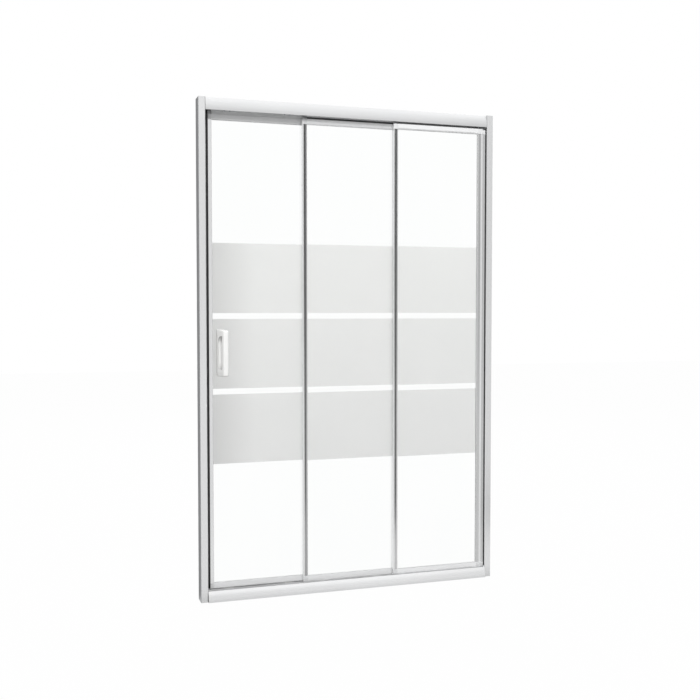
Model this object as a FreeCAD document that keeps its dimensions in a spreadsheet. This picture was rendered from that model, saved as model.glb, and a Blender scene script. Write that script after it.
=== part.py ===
"""Sliding shower door: a wall-to-wall frame with one fixed leaf and two leaves that slide behind it.

Millimetres. X runs along the door, Y from the room into the shower and Z up.
The origin is the middle of the sill's base.
"""
import FreeCAD
import Part
import math
import os
import re
import Sketcher

doc = FreeCAD.newDocument("sliding_shower_door")

# Driving sizes, one named cell each.
SIZES = {
    # frame between the walls
    "frame_width": 1200,
    "frame_height": 1890,
    "frame_depth": 60,
    "jamb_face": 27,
    "jamb_wall": 1.6,
    "jamb_round": 2.5,
    "jamb_wall_gap": 1,
    "profile_wall": 1.5,
    "profile_leg": 18,
    "profile_clear": 0.3,
    "wall_hole": 5,
    "wall_hole_span": 1650,
    "wall_hole_inner_span": 550,
    "jamb_screw_span": 1500,
    "cap_wall": 1.2,
    # header
    "header_height": 47,
    "header_back": 53,
    "header_roof": 2,
    "header_skirt": 1.8,
    "header_setback": 11,
    "header_bow": 80,
    "first_track": 11.5,
    "track_pitch": 17,
    "track_web": 1.6,
    "web_drop": 38,
    "ledge_drop": 27.4,
    "ledge_wall": 1.6,
    "ledge_reach": 6.7,
    "lip_wall": 1.2,
    "lip_height": 1.4,
    "port_block": 6.6,
    "web_clear": 0.25,
    # sill
    "sill_height": 41,
    "wiper_height": 7,
    "wiper_wall": 1.4,
    "sill_floor": 2,
    "sill_skirt": 1.8,
    "sill_nose": 9,
    "sill_bow": 95,
    "sill_back": 36,
    "rib_wall": 1.6,
    "rib_height": 37,
    "drain_length": 30,
    "drain_height": 5,
    "drain_count": 6,
    "drain_pitch": 170,
    # screws
    "screw_shank": 3.4,
    "screw_length": 22,
    "screw_head": 7,
    "screw_head_height": 2.2,
    "short_screw_length": 4.2,
    "screw_clear": 0.2,
    # leaves
    "fixed_leaf": 399,
    "middle_leaf": 389.5,
    "leaf_thick": 13,
    "leaf_rise": 41,
    "leaf_drop": 55,
    "rail_height": 20,
    "rail_wall": 1.5,
    "rail_bevel": 4,
    "rail_slope": 18,
    "neck_wall": 2.4,
    "neck_height": 21,
    "stile_width": 19,
    "rear_stile": 16,
    "wall_stile": 21,
    "stile_land": 9,
    "stile_cove": 22,
    "stile_wall": 1.5,
    "glazing_depth": 8,
    "glazing_lip": 1.2,
    "fin_wall": 1.6,
    "fin_reach": 3.2,
    "catch_gap": 0.4,
    "tongue": 13,
    "tongue_thick": 8,
    "closing_stile": 13,
    "block_proud": 0.7,
    "block_round": 3,
    "block_edge": 0.6,
    "spigot": 15,
    "spigot_fit": 0.15,
    # glass and its seals
    "glass_thick": 4,
    "glass_bite": 6.5,
    "seal_wall": 1,
    "seal_fit": 0.05,
    "seal_lip": 1.5,
    "band_rise": 516,
    "band_height": 265,
    "band_gap": 22,
    "band_count": 3,
    "band_depth": 0.1,
    "edge_seal": 14.7,
    "edge_seal_thick": 9,
    "edge_seal_wall": 1.5,
    "edge_seal_taper": 2,
    "edge_seal_rise": 14,
    "seal_gap": 0.3,
    "magnet_fit": 0.1,
    "magnet_width": 5,
    "jamb_seal": 2.5,
    "jamb_seal_grip": 1,
    "jamb_seal_wall": 1.2,
    "pile_inset": 2,
    "pile_width": 5,
    "pile_gap": 0.3,
    "brush_height": 7.5,
    "brush_wall": 1.6,
    # running gear
    "hanger_inset": 60,
    "hanger_width": 36,
    "hanger_wall": 2,
    "hanger_face": 2.2,
    "hanger_shoulder": 24,
    "hanger_nose": 14,
    "hanger_crown": 7.6,
    "hanger_screw_rise": 14,
    "hanger_screw_pitch": 20,
    "axle": 4,
    "axle_shoulder": 6,
    "axle_head_height": 0.7,
    "axle_fit": 0.05,
    "roller_radius": 9,
    "roller_width": 4.1,
    "roller_start": 1.75,
    "roller_play": 0.1,
    "roller_gap": 0.25,
    "roller_hub": 5,
    "roller_dish": 0.8,
    "roller_rim": 1.8,
    "roller_edge": 0.4,
    "bracket_tab": 16,
    "bracket_tab_wall": 3,
    "shoe_length": 30,
    "shoe_width": 9,
    "shoe_depth": 19,
    "shoe_clear": 0.4,
    "shoe_roof_gap": 1.5,
    "buffer_length": 12,
    "buffer_height": 12,
    "buffer_gap": 0.5,
    "middle_travel": 370,
    "closing_travel": 278,
    # handle
    "handle_inset": 41.5,
    "handle_rise": 938,
    "handle_length": 175,
    "handle_reach": 41,
    "handle_width": 22,
    "handle_offset": 15,
    "handle_round": 5,
    "handle_base": 4,
    "handle_grip": 10,
    "handle_arm": 18,
    "handle_flare": 6,
    "handle_edge": 2.5,
    "pull_width": 26,
    "pull_thick": 8,
    "scoop_width": 14,
    "scoop_length": 110,
    "scoop_depth": 4.5,
    "handle_screw": 4,
    "handle_screw_clear": 0.2,
    "handle_screw_depth": 11,
    "handle_screw_head": 7,
    "handle_screw_head_height": 2.4,
    "head_recess": 3.5,
    "bush": 8,
    "bush_fit": 0.05,
}

# Places that follow from the sizes.
LAYOUT = {
    "wall": "frame_width / 2",
    "opening": "frame_width / 2 - jamb_face",
    "half_depth": "frame_depth / 2",
    "profile_half": "half_depth - jamb_wall - profile_clear",
    "roof": "frame_height - header_roof",
    "header_lip": "frame_height - header_height",
    "header_hem": "frame_height - header_back",
    "web_end": "frame_height - web_drop",
    "running_face": "frame_height - ledge_drop",
    "port_drop": "roof - port_block / 2",
    "port_rise": "sill_floor + port_block / 2",
    "track_1": "first_track - half_depth",
    "track_2": "track_1 + track_pitch",
    "track_3": "track_2 + track_pitch",
    "web_place": "roller_start + roller_width + 2 * roller_play + axle_head_height + web_clear",
    "front_port": "track_1 + web_place + track_web + port_block / 2",
    "rear_port": "track_2 + web_place + track_web + port_block / 2",
    "sill_port_front": "(track_1 + track_2) / 2",
    "sill_port_rear": "(track_3 + half_depth) / 2",
    "leaf_top": "frame_height - leaf_drop",
    "half_leaf": "leaf_thick / 2",
    "slot": "glass_thick / 2 + seal_wall + seal_fit",
    "lip": "slot + glazing_lip",
    "stile_foot": "leaf_rise + rail_height",
    "stile_head": "leaf_top - rail_height",
    "overlap": "stile_width + fin_wall + catch_gap",
    "fixed_right": "opening - jamb_seal",
    "fixed_left": "fixed_right - fixed_leaf",
    "middle_right": "fixed_left + overlap",
    "middle_left": "middle_right - middle_leaf",
    "closing_right": "middle_left + overlap",
    "closing_left": "edge_seal + seal_gap - opening",
    "axle_rise": "running_face + roller_gap + roller_radius",
    "hanger_foot": "leaf_top - axle_rise",
    "hanger_back": "hanger_wall - hanger_face",
    "handle_place": "closing_left + handle_inset",
    "handle_face": "glass_thick / 2",
    "handle_hole_span": "handle_length - handle_arm",
}


def full(expression):
    """The expression with each name tied to the sheet that holds it."""
    def tie(match):
        name = match.group(0)
        if name in SIZES:
            return "Sizes." + name
        if name in LAYOUT:
            return "Layout." + name
        return name
    return re.sub(r"[A-Za-z_][A-Za-z_0-9]*", tie, str(expression))


sizes = doc.addObject("Spreadsheet::Sheet", "Sizes")
for line, (alias, value) in enumerate(SIZES.items(), start=1):
    sizes.set(f"A{line}", alias)
    sizes.set(f"B{line}", str(value))
    sizes.setAlias(f"B{line}", alias)
doc.recompute()
layout = doc.addObject("Spreadsheet::Sheet", "Layout")
for line, (alias, formula) in enumerate(LAYOUT.items(), start=1):
    layout.set(f"A{line}", alias)
    layout.set(f"B{line}", "=" + full(formula))
    layout.setAlias(f"B{line}", alias)
    doc.recompute()

nodes = []


def value_of(expression):
    return float(layout.evalExpression(full(expression)))


def add_circle(sketch, x, y, diameter):
    centre = FreeCAD.Vector(value_of(x), value_of(y), 0)
    circle = Part.Circle(centre, FreeCAD.Vector(0, 0, 1), value_of(diameter) / 2)
    index = sketch.addGeometry(circle)
    for kind, expression in (("DistanceX", x), ("DistanceY", y)):
        place = Sketcher.Constraint(kind, -1, 1, index, 3, value_of(expression))
        sketch.setExpression(f"Constraints[{sketch.addConstraint(place)}]", full(expression))
    across = Sketcher.Constraint("Diameter", index, value_of(diameter))
    sketch.setExpression(f"Constraints[{sketch.addConstraint(across)}]", full(diameter))


def add_outline(sketch, corners):
    """A closed outline. A corner's third value starts an arc of that radius, positive if it turns left."""
    points = [FreeCAD.Vector(value_of(corner[0]), value_of(corner[1]), 0) for corner in corners]
    edges = []
    for index, corner in enumerate(corners):
        start, end = points[index], points[(index + 1) % len(points)]
        if len(corner) == 2:
            edges.append((sketch.addGeometry(Part.LineSegment(start, end)), 1, 2))
            continue
        radius = value_of(corner[2])
        chord = end - start
        left = FreeCAD.Vector(-chord.y, chord.x, 0).normalize()
        rise = math.sqrt(radius ** 2 - (chord.Length / 2) ** 2)
        centre = (start + end) * 0.5 + left * math.copysign(rise, radius)
        first, last = (start, end) if radius > 0 else (end, start)
        begin = math.atan2(first.y - centre.y, first.x - centre.x)
        finish = math.atan2(last.y - centre.y, last.x - centre.x)
        if finish < begin:
            finish += 2 * math.pi
        circle = Part.Circle(centre, FreeCAD.Vector(0, 0, 1), abs(radius))
        edge = sketch.addGeometry(Part.ArcOfCircle(circle, begin, finish))
        edges.append((edge, 1, 2) if radius > 0 else (edge, 2, 1))
        size = sketch.addConstraint(Sketcher.Constraint("Radius", edge, abs(radius)))
        sketch.setExpression(f"Constraints[{size}]", full(f"abs({corner[2]})"))
    for index, (edge, start, end) in enumerate(edges):
        following, following_start, _ = edges[(index + 1) % len(edges)]
        sketch.addConstraint(Sketcher.Constraint("Coincident", edge, end, following, following_start))
        for kind, expression in zip(("DistanceX", "DistanceY"), corners[index]):
            place = Sketcher.Constraint(kind, -1, 1, edge, start, value_of(expression))
            sketch.setExpression(f"Constraints[{sketch.addConstraint(place)}]", full(expression))


def new_body(label, x="0", y="0", z="0"):
    body = doc.addObject("PartDesign::Body", label)
    body.Label = label
    for axis, place in zip("xyz", (x, y, z)):
        body.setExpression(f"Placement.Base.{axis}", full(place))
    return body


def draw(body, plane, outlines=(), circles=(), lift="0"):
    """A sketch on one of the body's own origin planes, moved along the plane's normal by lift."""
    sketch = body.newObject("Sketcher::SketchObject", body.Label + "_sketch")
    support = next(feature for feature in body.Origin.OriginFeatures if feature.Role == plane + "_Plane")
    sketch.AttachmentSupport = [(support, "")]
    sketch.MapMode = "FlatFace"
    sketch.setExpression("AttachmentOffset.Base.z", full(lift))
    for outline in outlines:
        add_outline(sketch, outline)
    for circle in circles:
        add_circle(sketch, *circle)
    return sketch


def feature(body, kind, sketch, length, side="One side", backwards=False):
    made = body.newObject("PartDesign::" + kind, body.Label + "_" + kind.lower())
    made.Profile = sketch
    made.SideType = side
    made.Reversed = backwards
    if length is None:
        made.Type = "ThroughAll"
    else:
        made.setExpression("Length", full(length))
    doc.recompute()
    return made


def revolve(body, sketch):
    """The sketch turned once about its own horizontal axis."""
    turned = body.newObject("PartDesign::Revolution", body.Label + "_turn")
    turned.Profile = sketch
    turned.ReferenceAxis = (sketch, ["H_Axis"])
    turned.Angle = 360
    doc.recompute()
    return turned


def row(body, original, axis, length, count):
    """Repeats one feature in an even row along one of the body's axes."""
    pattern = body.newObject("PartDesign::LinearPattern", body.Label + "_row")
    pattern.Originals = [original]
    direction = next(feature for feature in body.Origin.OriginFeatures if feature.Role == axis + "_Axis")
    pattern.Direction = (direction, [""])
    pattern.setExpression("Length", full(length))
    pattern.setExpression("Occurrences", full(count))
    body.Tip = pattern
    doc.recompute()
    return pattern


def keep(thing):
    nodes.append(thing)
    return thing


def group(label, copies):
    """One node of separate solids. Each copy is a seed body, its place, and a turn as axis and degrees."""
    links = []
    for seed, (x, y, z), turn in copies:
        link = doc.addObject("App::Link", f"{label}_{len(links) + 1}")
        link.LinkedObject = seed
        axis, angle = turn or ((0, 0, 1), 0)
        link.Placement = FreeCAD.Placement(FreeCAD.Vector(), FreeCAD.Rotation(FreeCAD.Vector(*axis), angle))
        for name, place in zip("xyz", (x, y, z)):
            link.setExpression(f"Placement.Base.{name}", full(place))
        links.append(link)
    compound = doc.addObject("Part::Compound", label)
    compound.Label = label
    compound.Links = links
    return keep(compound)


def box(low_x, low_y, high_x, high_y):
    return [(low_x, low_y), (high_x, low_y), (high_x, high_y), (low_x, high_y)]


def rounded_box(half_x, half_y, radius, x="0", rise="0"):
    """A centred rectangle with round corners, whose top may reach higher by rise."""
    left, right = f"{x} - {half_x}", f"{x} + {half_x}"
    top = f"{half_y} + {rise}"
    return [
        (f"{left} + {radius}", f"-({half_y})"),
        (f"{right} - {radius}", f"-({half_y})", radius),
        (right, f"{radius} - ({half_y})"),
        (right, f"{top} - {radius}", radius),
        (f"{right} - {radius}", top),
        (f"{left} + {radius}", top, radius),
        (left, f"{top} - {radius}"),
        (left, f"{radius} - ({half_y})", radius),
    ]


def from_edge(edge, sign, outline):
    """An outline whose first value counts from an edge, inwards for sign 1 and mirrored for sign -1."""
    return [
        (f"{edge} + {sign} * ({corner[0]})", corner[1], *(f"{sign} * ({r})" for r in corner[2:]))
        for corner in outline
    ]


def screw(label, shank, length, head, head_height):
    """A pan-head screw along X, its shank on the -X side of the face that the head bears on."""
    body = new_body(label)
    profile = [
        (f"-({length})", "0"),
        (head_height, "0"),
        (head_height, f"{head} / 3"),
        (f"{head_height} / 2", f"{head} / 2"),
        ("0", f"{head} / 2"),
        ("0", f"{shank} / 2"),
        (f"-({length})", f"{shank} / 2"),
    ]
    revolve(body, draw(body, "XY", [profile]))
    return body


# Wall profiles and jambs: two nested channels on each wall, the jamb open towards the wall.
frame_ports = [("front_port", "port_drop"), ("rear_port", "port_drop"),
               ("sill_port_front", "port_rise"), ("sill_port_rear", "port_rise")]
jamb_screw_heights = [f"frame_height / 2 + {half} * jamb_screw_span / 2" for half in (-1, 0, 1)]
jamb_screw_place = "(wall - profile_leg / 2)"

for side, sign in (("left", -1), ("right", 1)):
    profile = new_body(f"wall_profile_{side}")
    channel = [
        ("wall", "-profile_half"),
        ("wall", "profile_half"),
        ("wall - profile_leg", "profile_half"),
        ("wall - profile_leg", "profile_half - profile_wall"),
        ("wall - profile_wall", "profile_half - profile_wall"),
        ("wall - profile_wall", "profile_wall - profile_half"),
        ("wall - profile_leg", "profile_wall - profile_half"),
        ("wall - profile_leg", "-profile_half"),
    ]
    feature(profile, "Pad", draw(profile, "XY", [from_edge("0", sign, channel)]), "frame_height - cap_wall")
    wall_holes = [("0", f"frame_height / 2 + {half} * {span} / 2", "wall_hole")
                  for span in ("wall_hole_span", "wall_hole_inner_span") for half in (-1, 1)]
    feature(profile, "Pocket", draw(profile, "YZ", circles=wall_holes), None, "Symmetric")
    cross_holes = [(f"{sign} * {jamb_screw_place}", height, "screw_shank + 2 * screw_clear")
                   for height in jamb_screw_heights]
    feature(profile, "Pocket", draw(profile, "XZ", circles=cross_holes, lift="-profile_half"),
            "4 * profile_wall", "Symmetric")
    keep(profile)

    jamb = new_body(f"jamb_{side}")
    shell = [
        ("wall - jamb_wall_gap", "-half_depth"),
        ("wall - jamb_wall_gap", "jamb_wall - half_depth"),
        ("opening + jamb_wall", "jamb_wall - half_depth"),
        ("opening + jamb_wall", "half_depth - jamb_wall"),
        ("wall - jamb_wall_gap", "half_depth - jamb_wall"),
        ("wall - jamb_wall_gap", "half_depth"),
        ("opening + jamb_round", "half_depth", "jamb_round"),
        ("opening", "half_depth - jamb_round"),
        ("opening", "jamb_round - half_depth", "jamb_round"),
        ("opening + jamb_round", "-half_depth"),
    ]
    feature(jamb, "Pad", draw(jamb, "XY", [from_edge("0", sign, shell)]), "frame_height")
    port_holes = [(y, z, "screw_shank + 2 * screw_clear") for y, z in frame_ports]
    feature(jamb, "Pocket", draw(jamb, "YZ", circles=port_holes), None, "Symmetric")
    feature(jamb, "Pocket", draw(jamb, "XZ", circles=cross_holes, lift="-half_depth"),
            "4 * jamb_wall", "Symmetric")
    keep(jamb)

# Jamb caps: moulded plugs that close the tops of the jambs above the wall profiles.
cap = new_body("cap")
plug = box("opening + jamb_wall", "jamb_wall - half_depth", "wall - jamb_wall_gap", "half_depth - jamb_wall")
feature(cap, "Pad", draw(cap, "XY", [plug]), "cap_wall")
group("jamb_caps", [
    (cap, ("0", "0", "frame_height - cap_wall"), None),
    (cap, ("0", "0", "frame_height - cap_wall"), ((0, 0, 1), 180)),
])

# Header: a bowed skirt, a roof and three webs, each web with a running ledge and its lip.
header = new_body("header_rail")
section = [
    ("header_setback - half_depth", "frame_height", "header_bow"),
    ("-half_depth", "header_lip"),
    ("header_skirt - half_depth", "header_lip", "header_skirt - header_bow"),
    ("header_setback + header_skirt - half_depth", "roof"),
    ("track_1 + web_place", "roof"),
]
for track, following in (("track_1", "track_2"), ("track_2", "track_3"), ("track_3", None)):
    web = f"{track} + web_place"
    ledge_end = f"{web} - ledge_reach"
    web_foot = "web_end" if following else "header_hem"
    section += [
        (web, "running_face"),
        (f"{ledge_end} + lip_wall", "running_face"),
        (f"{ledge_end} + lip_wall", "running_face + lip_height"),
        (ledge_end, "running_face + lip_height"),
        (ledge_end, "running_face - ledge_wall"),
        (web, "running_face - ledge_wall"),
        (web, web_foot),
        (f"{web} + track_web", web_foot),
    ]
    if following:
        section += [
            (f"{web} + track_web", "roof - port_block"),
            (f"{web} + track_web + port_block", "roof - port_block"),
            (f"{web} + track_web + port_block", "roof"),
            (f"{following} + web_place", "roof"),
        ]
section.append(("track_3 + web_place + track_web", "frame_height"))
header_ports = [(y, z, "screw_shank + screw_clear") for y, z in frame_ports[:2]]
feature(header, "Pad", draw(header, "YZ", [section], header_ports), "2 * opening", "Symmetric")
keep(header)

# Sill: a tray with a bowed nose towards the room, three guide ribs and a low rear wall with drain slots.
sill = new_body("sill_rail")
tray = [
    ("-half_depth - sill_nose", "0"),
    ("half_depth", "0"),
    ("half_depth", "sill_back"),
    ("half_depth - sill_skirt", "sill_back"),
    ("half_depth - sill_skirt", "sill_floor"),
]
tray_ports = {"track_3": "sill_port_rear", "track_1": "sill_port_front"}
for track in ("track_3", "track_2", "track_1"):
    if track in tray_ports:
        port = tray_ports[track]
        tray += [
            (f"{port} + port_block / 2", "sill_floor"),
            (f"{port} + port_block / 2", "sill_floor + port_block"),
            (f"{port} - port_block / 2", "sill_floor + port_block"),
            (f"{port} - port_block / 2", "sill_floor"),
        ]
    tray += [
        (f"{track} + rib_wall / 2", "sill_floor"),
        (f"{track} + rib_wall / 2", "rib_height"),
        (f"{track} - rib_wall / 2", "rib_height"),
        (f"{track} - rib_wall / 2", "sill_floor"),
    ]
tray += [
    ("sill_skirt - half_depth - sill_nose", "sill_floor", "sill_skirt - sill_bow"),
    ("sill_skirt - half_depth", "sill_height"),
    ("-half_depth", "sill_height", "sill_bow"),
]
sill_ports = [(y, z, "screw_shank + screw_clear") for y, z in frame_ports[2:]]
feature(sill, "Pad", draw(sill, "YZ", [tray], sill_ports), "2 * opening", "Symmetric")
drain_row = "drain_pitch * (drain_count - 1)"
drain = box(f"-({drain_row}) / 2 - drain_length / 2", "sill_floor + port_block",
            f"-({drain_row}) / 2 + drain_length / 2", "sill_floor + port_block + drain_height")
drain_slot = feature(sill, "Pocket", draw(sill, "XZ", [drain], lift="-half_depth"),
                     "4 * sill_skirt", "Symmetric")
row(sill, drain_slot, "X", drain_row, "drain_count")
keep(sill)

# Sill wiper: a soft strip along the top of the sill's nose, in front of the leaves.
wiper = new_body("sill_wiper")
strip = box("sill_skirt - half_depth - wiper_wall", "sill_height",
            "sill_skirt - half_depth", "sill_height + wiper_height")
feature(wiper, "Pad", draw(wiper, "YZ", [strip]), "2 * opening", "Symmetric")
keep(wiper)

# Screws of the frame: from inside the jambs into the ports, and from the shower side into the wall profiles.
long_screw = screw("long_screw", "screw_shank", "screw_length", "screw_head", "screw_head_height")
jamb_screw = screw("jamb_screw", "screw_shank", "jamb_wall + profile_clear + 2 * profile_wall",
                   "screw_head", "screw_head_height")
half_turn = ((0, 0, 1), 180)
group("frame_screws", [
    (long_screw, (f"{sign} * (opening + jamb_wall)", y, z), half_turn if sign < 0 else None)
    for sign in (-1, 1) for y, z in frame_ports
])
group("jamb_screws", [
    (jamb_screw, (f"{sign} * {jamb_screw_place}", "half_depth", height), ((0, 0, 1), 90))
    for sign in (-1, 1) for height in jamb_screw_heights
])


# Stiles by kind: the closing edge, the two halves of an interlock and the wall side of the fixed leaf.
STILE_WIDTHS = {
    "flat": "closing_stile",
    "front fin": "rear_stile",
    "rear fin": "stile_width",
    "tongue": "wall_stile",
}


def stile(label, track, edge, sign, kind):
    """An upright of a leaf. Its outline counts from its outer edge: a land, a cove and the glazing slot."""
    width = STILE_WIDTHS[kind]
    cove = [("stile_land", "-half_leaf", "-stile_cove"), (width, "-lip")]
    back = [(width, "lip", "-stile_cove"), ("stile_land", "half_leaf")]
    outer = [("0", "half_leaf"), ("0", "-half_leaf")]
    if kind == "flat":
        cove = [("closing_stile", "-half_leaf")]
        back = [("closing_stile", "half_leaf")]
    if kind == "rear fin":
        back = [
            ("stile_width", "half_leaf + fin_reach"),
            ("stile_width - fin_wall", "half_leaf + fin_reach"),
            ("stile_width - fin_wall", "lip", "-stile_cove"),
            ("stile_land", "half_leaf"),
        ]
    if kind == "front fin":
        outer = [
            ("0", "half_leaf"),
            ("0", "-half_leaf - fin_reach"),
            ("fin_wall", "-half_leaf - fin_reach"),
            ("fin_wall", "-half_leaf"),
        ]
    if kind == "tongue":
        outer = [
            ("0", "half_leaf"),
            ("0", "tongue_thick / 2"),
            ("-tongue", "tongue_thick / 2"),
            ("-tongue", "-tongue_thick / 2"),
            ("0", "-tongue_thick / 2"),
            ("0", "-half_leaf"),
        ]
    glazing = [
        (width, "-slot"),
        (f"{width} - glazing_depth", "-slot"),
        (f"{width} - glazing_depth", "slot"),
        (width, "slot"),
    ]
    outlines = [cove + glazing + back + outer]
    outlines.append(box("stile_wall", "stile_wall - half_leaf",
                        f"{width} - glazing_depth - stile_wall", "half_leaf - stile_wall"))
    if kind == "tongue":
        outlines.append(box("stile_wall - tongue", "stile_wall - tongue_thick / 2",
                            "-stile_wall", "tongue_thick / 2 - stile_wall"))
    body = new_body(label, y=track, z="stile_foot")
    sections = [from_edge(edge, sign, outline) for outline in outlines]
    feature(body, "Pad", draw(body, "XY", sections), "stile_head - stile_foot")
    return keep(body)


def rail(label, track, start, end, top):
    """A leaf's top or bottom rail: a neck for the hangers on top, and sides that shed water at the bottom."""
    if top:
        shoulder = "rail_bevel"

        def level(height):
            return f"stile_head + {height}"
        neck = [
            ("-hanger_face", level("rail_height")),
            ("-hanger_face", level("rail_height + neck_height")),
            ("-hanger_face - neck_wall", level("rail_height + neck_height")),
            ("-hanger_face - neck_wall", level("rail_height")),
        ]
    else:
        shoulder = "rail_slope"

        def level(height):
            return f"stile_foot - ({height})"
        neck = []
    section = [
        ("slot", level("0")),
        ("lip", level("0")),
        ("half_leaf", level(shoulder)),
        ("half_leaf", level("rail_height")),
        *neck,
        ("-half_leaf", level("rail_height")),
        ("-half_leaf", level(shoulder)),
        ("-lip", level("0")),
        ("-slot", level("0")),
        ("-slot", level("glazing_depth")),
        ("slot", level("glazing_depth")),
    ]
    chamber = box("-lip", level("glazing_depth + rail_wall"), "lip", level("rail_height - rail_wall"))
    body = new_body(label, x=start, y=track)
    feature(body, "Pad", draw(body, "YZ", [section, chamber]), f"{end} - ({start})")
    if top:
        places = [("hanger_inset", 1), ("hanger_inset", -1)]
        holes = []
        for inset, sign in places:
            middle = inset if sign > 0 else f"{end} - ({start}) - {inset}"
            for half in (-1, 1):
                holes.append((f"{middle} + {half} * hanger_screw_pitch / 2",
                              "leaf_top + hanger_screw_rise", "screw_shank + 2 * screw_clear"))
        feature(body, "Pocket", draw(body, "XZ", circles=holes), None, "Symmetric")
    return keep(body)


def corner_block(label, width, tongue=False):
    """A moulded top left corner of a leaf: spigots for stile and rail, and room for the glass corner."""
    body = new_body(label)
    face = [
        ("0", "-rail_height"),
        (width, "-rail_height"),
        (width, "0"),
        ("block_round", "0", "block_round"),
        ("0", "-block_round"),
    ]
    block = feature(body, "Pad", draw(body, "XZ", [face]), "leaf_thick + 2 * block_proud", "Symmetric")
    proud = value_of("half_leaf + block_proud")
    rims = [f"Edge{number}" for number, edge in enumerate(block.Shape.Edges, start=1)
            if all(abs(abs(vertex.Y) - proud) < 1e-6 for vertex in edge.Vertexes)
            and abs(edge.CenterOfMass.y) > 1e-6]
    rounding = body.newObject("PartDesign::Fillet", label + "_edges")
    rounding.Base = (block, rims)
    rounding.setExpression("Radius", full("block_edge"))
    doc.recompute()
    glass_room = box(f"{width} - glazing_depth", "-rail_height - glazing_depth",
                     f"{width} + glazing_depth", "glazing_depth - rail_height")
    feature(body, "Pocket", draw(body, "XZ", [glass_room]), "2 * slot", "Symmetric")
    stile_plug = box("stile_wall + spigot_fit", "stile_wall + spigot_fit - half_leaf",
                     f"{width} - glazing_depth - stile_wall - spigot_fit",
                     "half_leaf - stile_wall - spigot_fit")
    feature(body, "Pad", draw(body, "XY", [stile_plug], lift="-rail_height"), "spigot", backwards=True)
    rail_plug = box("spigot_fit - lip", "glazing_depth + rail_wall + spigot_fit - rail_height",
                    "lip - spigot_fit", "-rail_wall - spigot_fit")
    feature(body, "Pad", draw(body, "YZ", [rail_plug], lift=width), "spigot")
    if tongue:
        arm = box("-tongue", "-rail_height", "block_round", "-block_round")
        feature(body, "Pad", draw(body, "XZ", [arm]), "tongue_thick", "Symmetric")
    return body


def pane(name, track, start, end):
    """The glass with its etched bands, and its rim's seal. Start and end are the stiles' inner edges."""
    low, high = "stile_foot - glass_bite", "stile_head + glass_bite"
    glass = new_body(name + "_glass", y=track)
    rim = box(f"{start} - glass_bite", low, f"{end} + glass_bite", high)
    feature(glass, "Pad", draw(glass, "XZ", [rim]), "glass_thick", "Symmetric")
    band = box(f"{start} + seal_lip", "band_rise", f"{end} - seal_lip", "band_rise + band_height")
    etching = feature(glass, "Pocket", draw(glass, "XZ", [band], lift="-glass_thick / 2"),
                      "2 * band_depth", "Symmetric")
    row(glass, etching, "Z", "(band_height + band_gap) * (band_count - 1)", "band_count")
    keep(glass)

    seal = new_body(name + "_glazing_seal", y=track)
    wrap = box(f"{start} - glass_bite - seal_wall", f"{low} - seal_wall",
               f"{end} + glass_bite + seal_wall", f"{high} + seal_wall")
    window = box(f"{start} + seal_lip", "stile_foot + seal_lip", f"{end} - seal_lip", "stile_head - seal_lip")
    feature(seal, "Pad", draw(seal, "XZ", [wrap, window]), "glass_thick + 2 * seal_wall", "Symmetric")
    feature(seal, "Pocket", draw(seal, "XZ", [rim]), "glass_thick", "Symmetric")
    keep(seal)
    return glass


def hanger_plate(label, holes):
    """A hanger's upright plate, drawn round its axle: wide on the rail's neck and narrow at the axle."""
    body = new_body(label)
    shape = [
        ("-hanger_width / 2", "hanger_foot"),
        ("hanger_width / 2", "hanger_foot"),
        ("hanger_width / 2", "hanger_foot + hanger_shoulder"),
        ("hanger_nose / 2", "0", "hanger_crown"),
        ("-hanger_nose / 2", "0"),
        ("-hanger_width / 2", "hanger_foot + hanger_shoulder"),
    ]
    screw_holes = [(f"{half} * hanger_screw_pitch / 2", "hanger_foot + hanger_screw_rise",
                    "screw_shank + 2 * screw_clear") for half in (-1, 1)]
    feature(body, "Pad", draw(body, "XZ", [shape], screw_holes + holes, lift="hanger_face"),
            "hanger_wall", backwards=True)
    return body


def shoe(label, depth):
    """A nylon block under a bottom rail that straddles its rib of the sill."""
    body = new_body(label)
    section = [
        ("-shoe_width / 2", "0"),
        ("-shoe_width / 2", f"-({depth})"),
        ("-rib_wall / 2 - shoe_clear", f"-({depth})"),
        ("-rib_wall / 2 - shoe_clear", "rib_height + shoe_roof_gap - leaf_rise"),
        ("rib_wall / 2 + shoe_clear", "rib_height + shoe_roof_gap - leaf_rise"),
        ("rib_wall / 2 + shoe_clear", f"-({depth})"),
        ("shoe_width / 2", f"-({depth})"),
        ("shoe_width / 2", "0"),
    ]
    feature(body, "Pad", draw(body, "YZ", [section]), "shoe_length", "Symmetric")
    return body


def pile_strip(label, track, edge):
    """A brush strip on the rear land of an interlock stile, just short of the leaf behind it."""
    body = new_body(label, y=track, z="stile_foot")
    strip = box(f"{edge} + pile_inset", "half_leaf", f"{edge} + pile_inset + pile_width",
                "track_pitch - half_leaf - pile_gap")
    feature(body, "Pad", draw(body, "XY", [strip]), "stile_head - stile_foot")
    return keep(body)


# Seeds for what repeats on the leaves.
corner_blocks = {kind: corner_block(kind.replace(" ", "_") + "_corner_block", width, tongue=kind == "tongue")
                 for kind, width in STILE_WIDTHS.items()}
hanger = hanger_plate("hanger", [("0", "0", "axle + 2 * axle_fit")])
bracket = hanger_plate("bracket", [])
tab = box("-bracket_tab / 2", "lip_height - roller_gap - roller_radius",
          "bracket_tab / 2", "lip_height + bracket_tab_wall - roller_gap - roller_radius")
feature(bracket, "Pad", draw(bracket, "XZ", [tab], lift="-hanger_back"),
        "roller_start + roller_width - hanger_back", backwards=True)
sliding_shoe = shoe("sliding_shoe", "shoe_depth")
standing_shoe = shoe("standing_shoe", "leaf_rise - sill_floor")
hanger_screw = screw("hanger_screw", "screw_shank", "short_screw_length", "screw_head", "screw_head_height")

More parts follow.
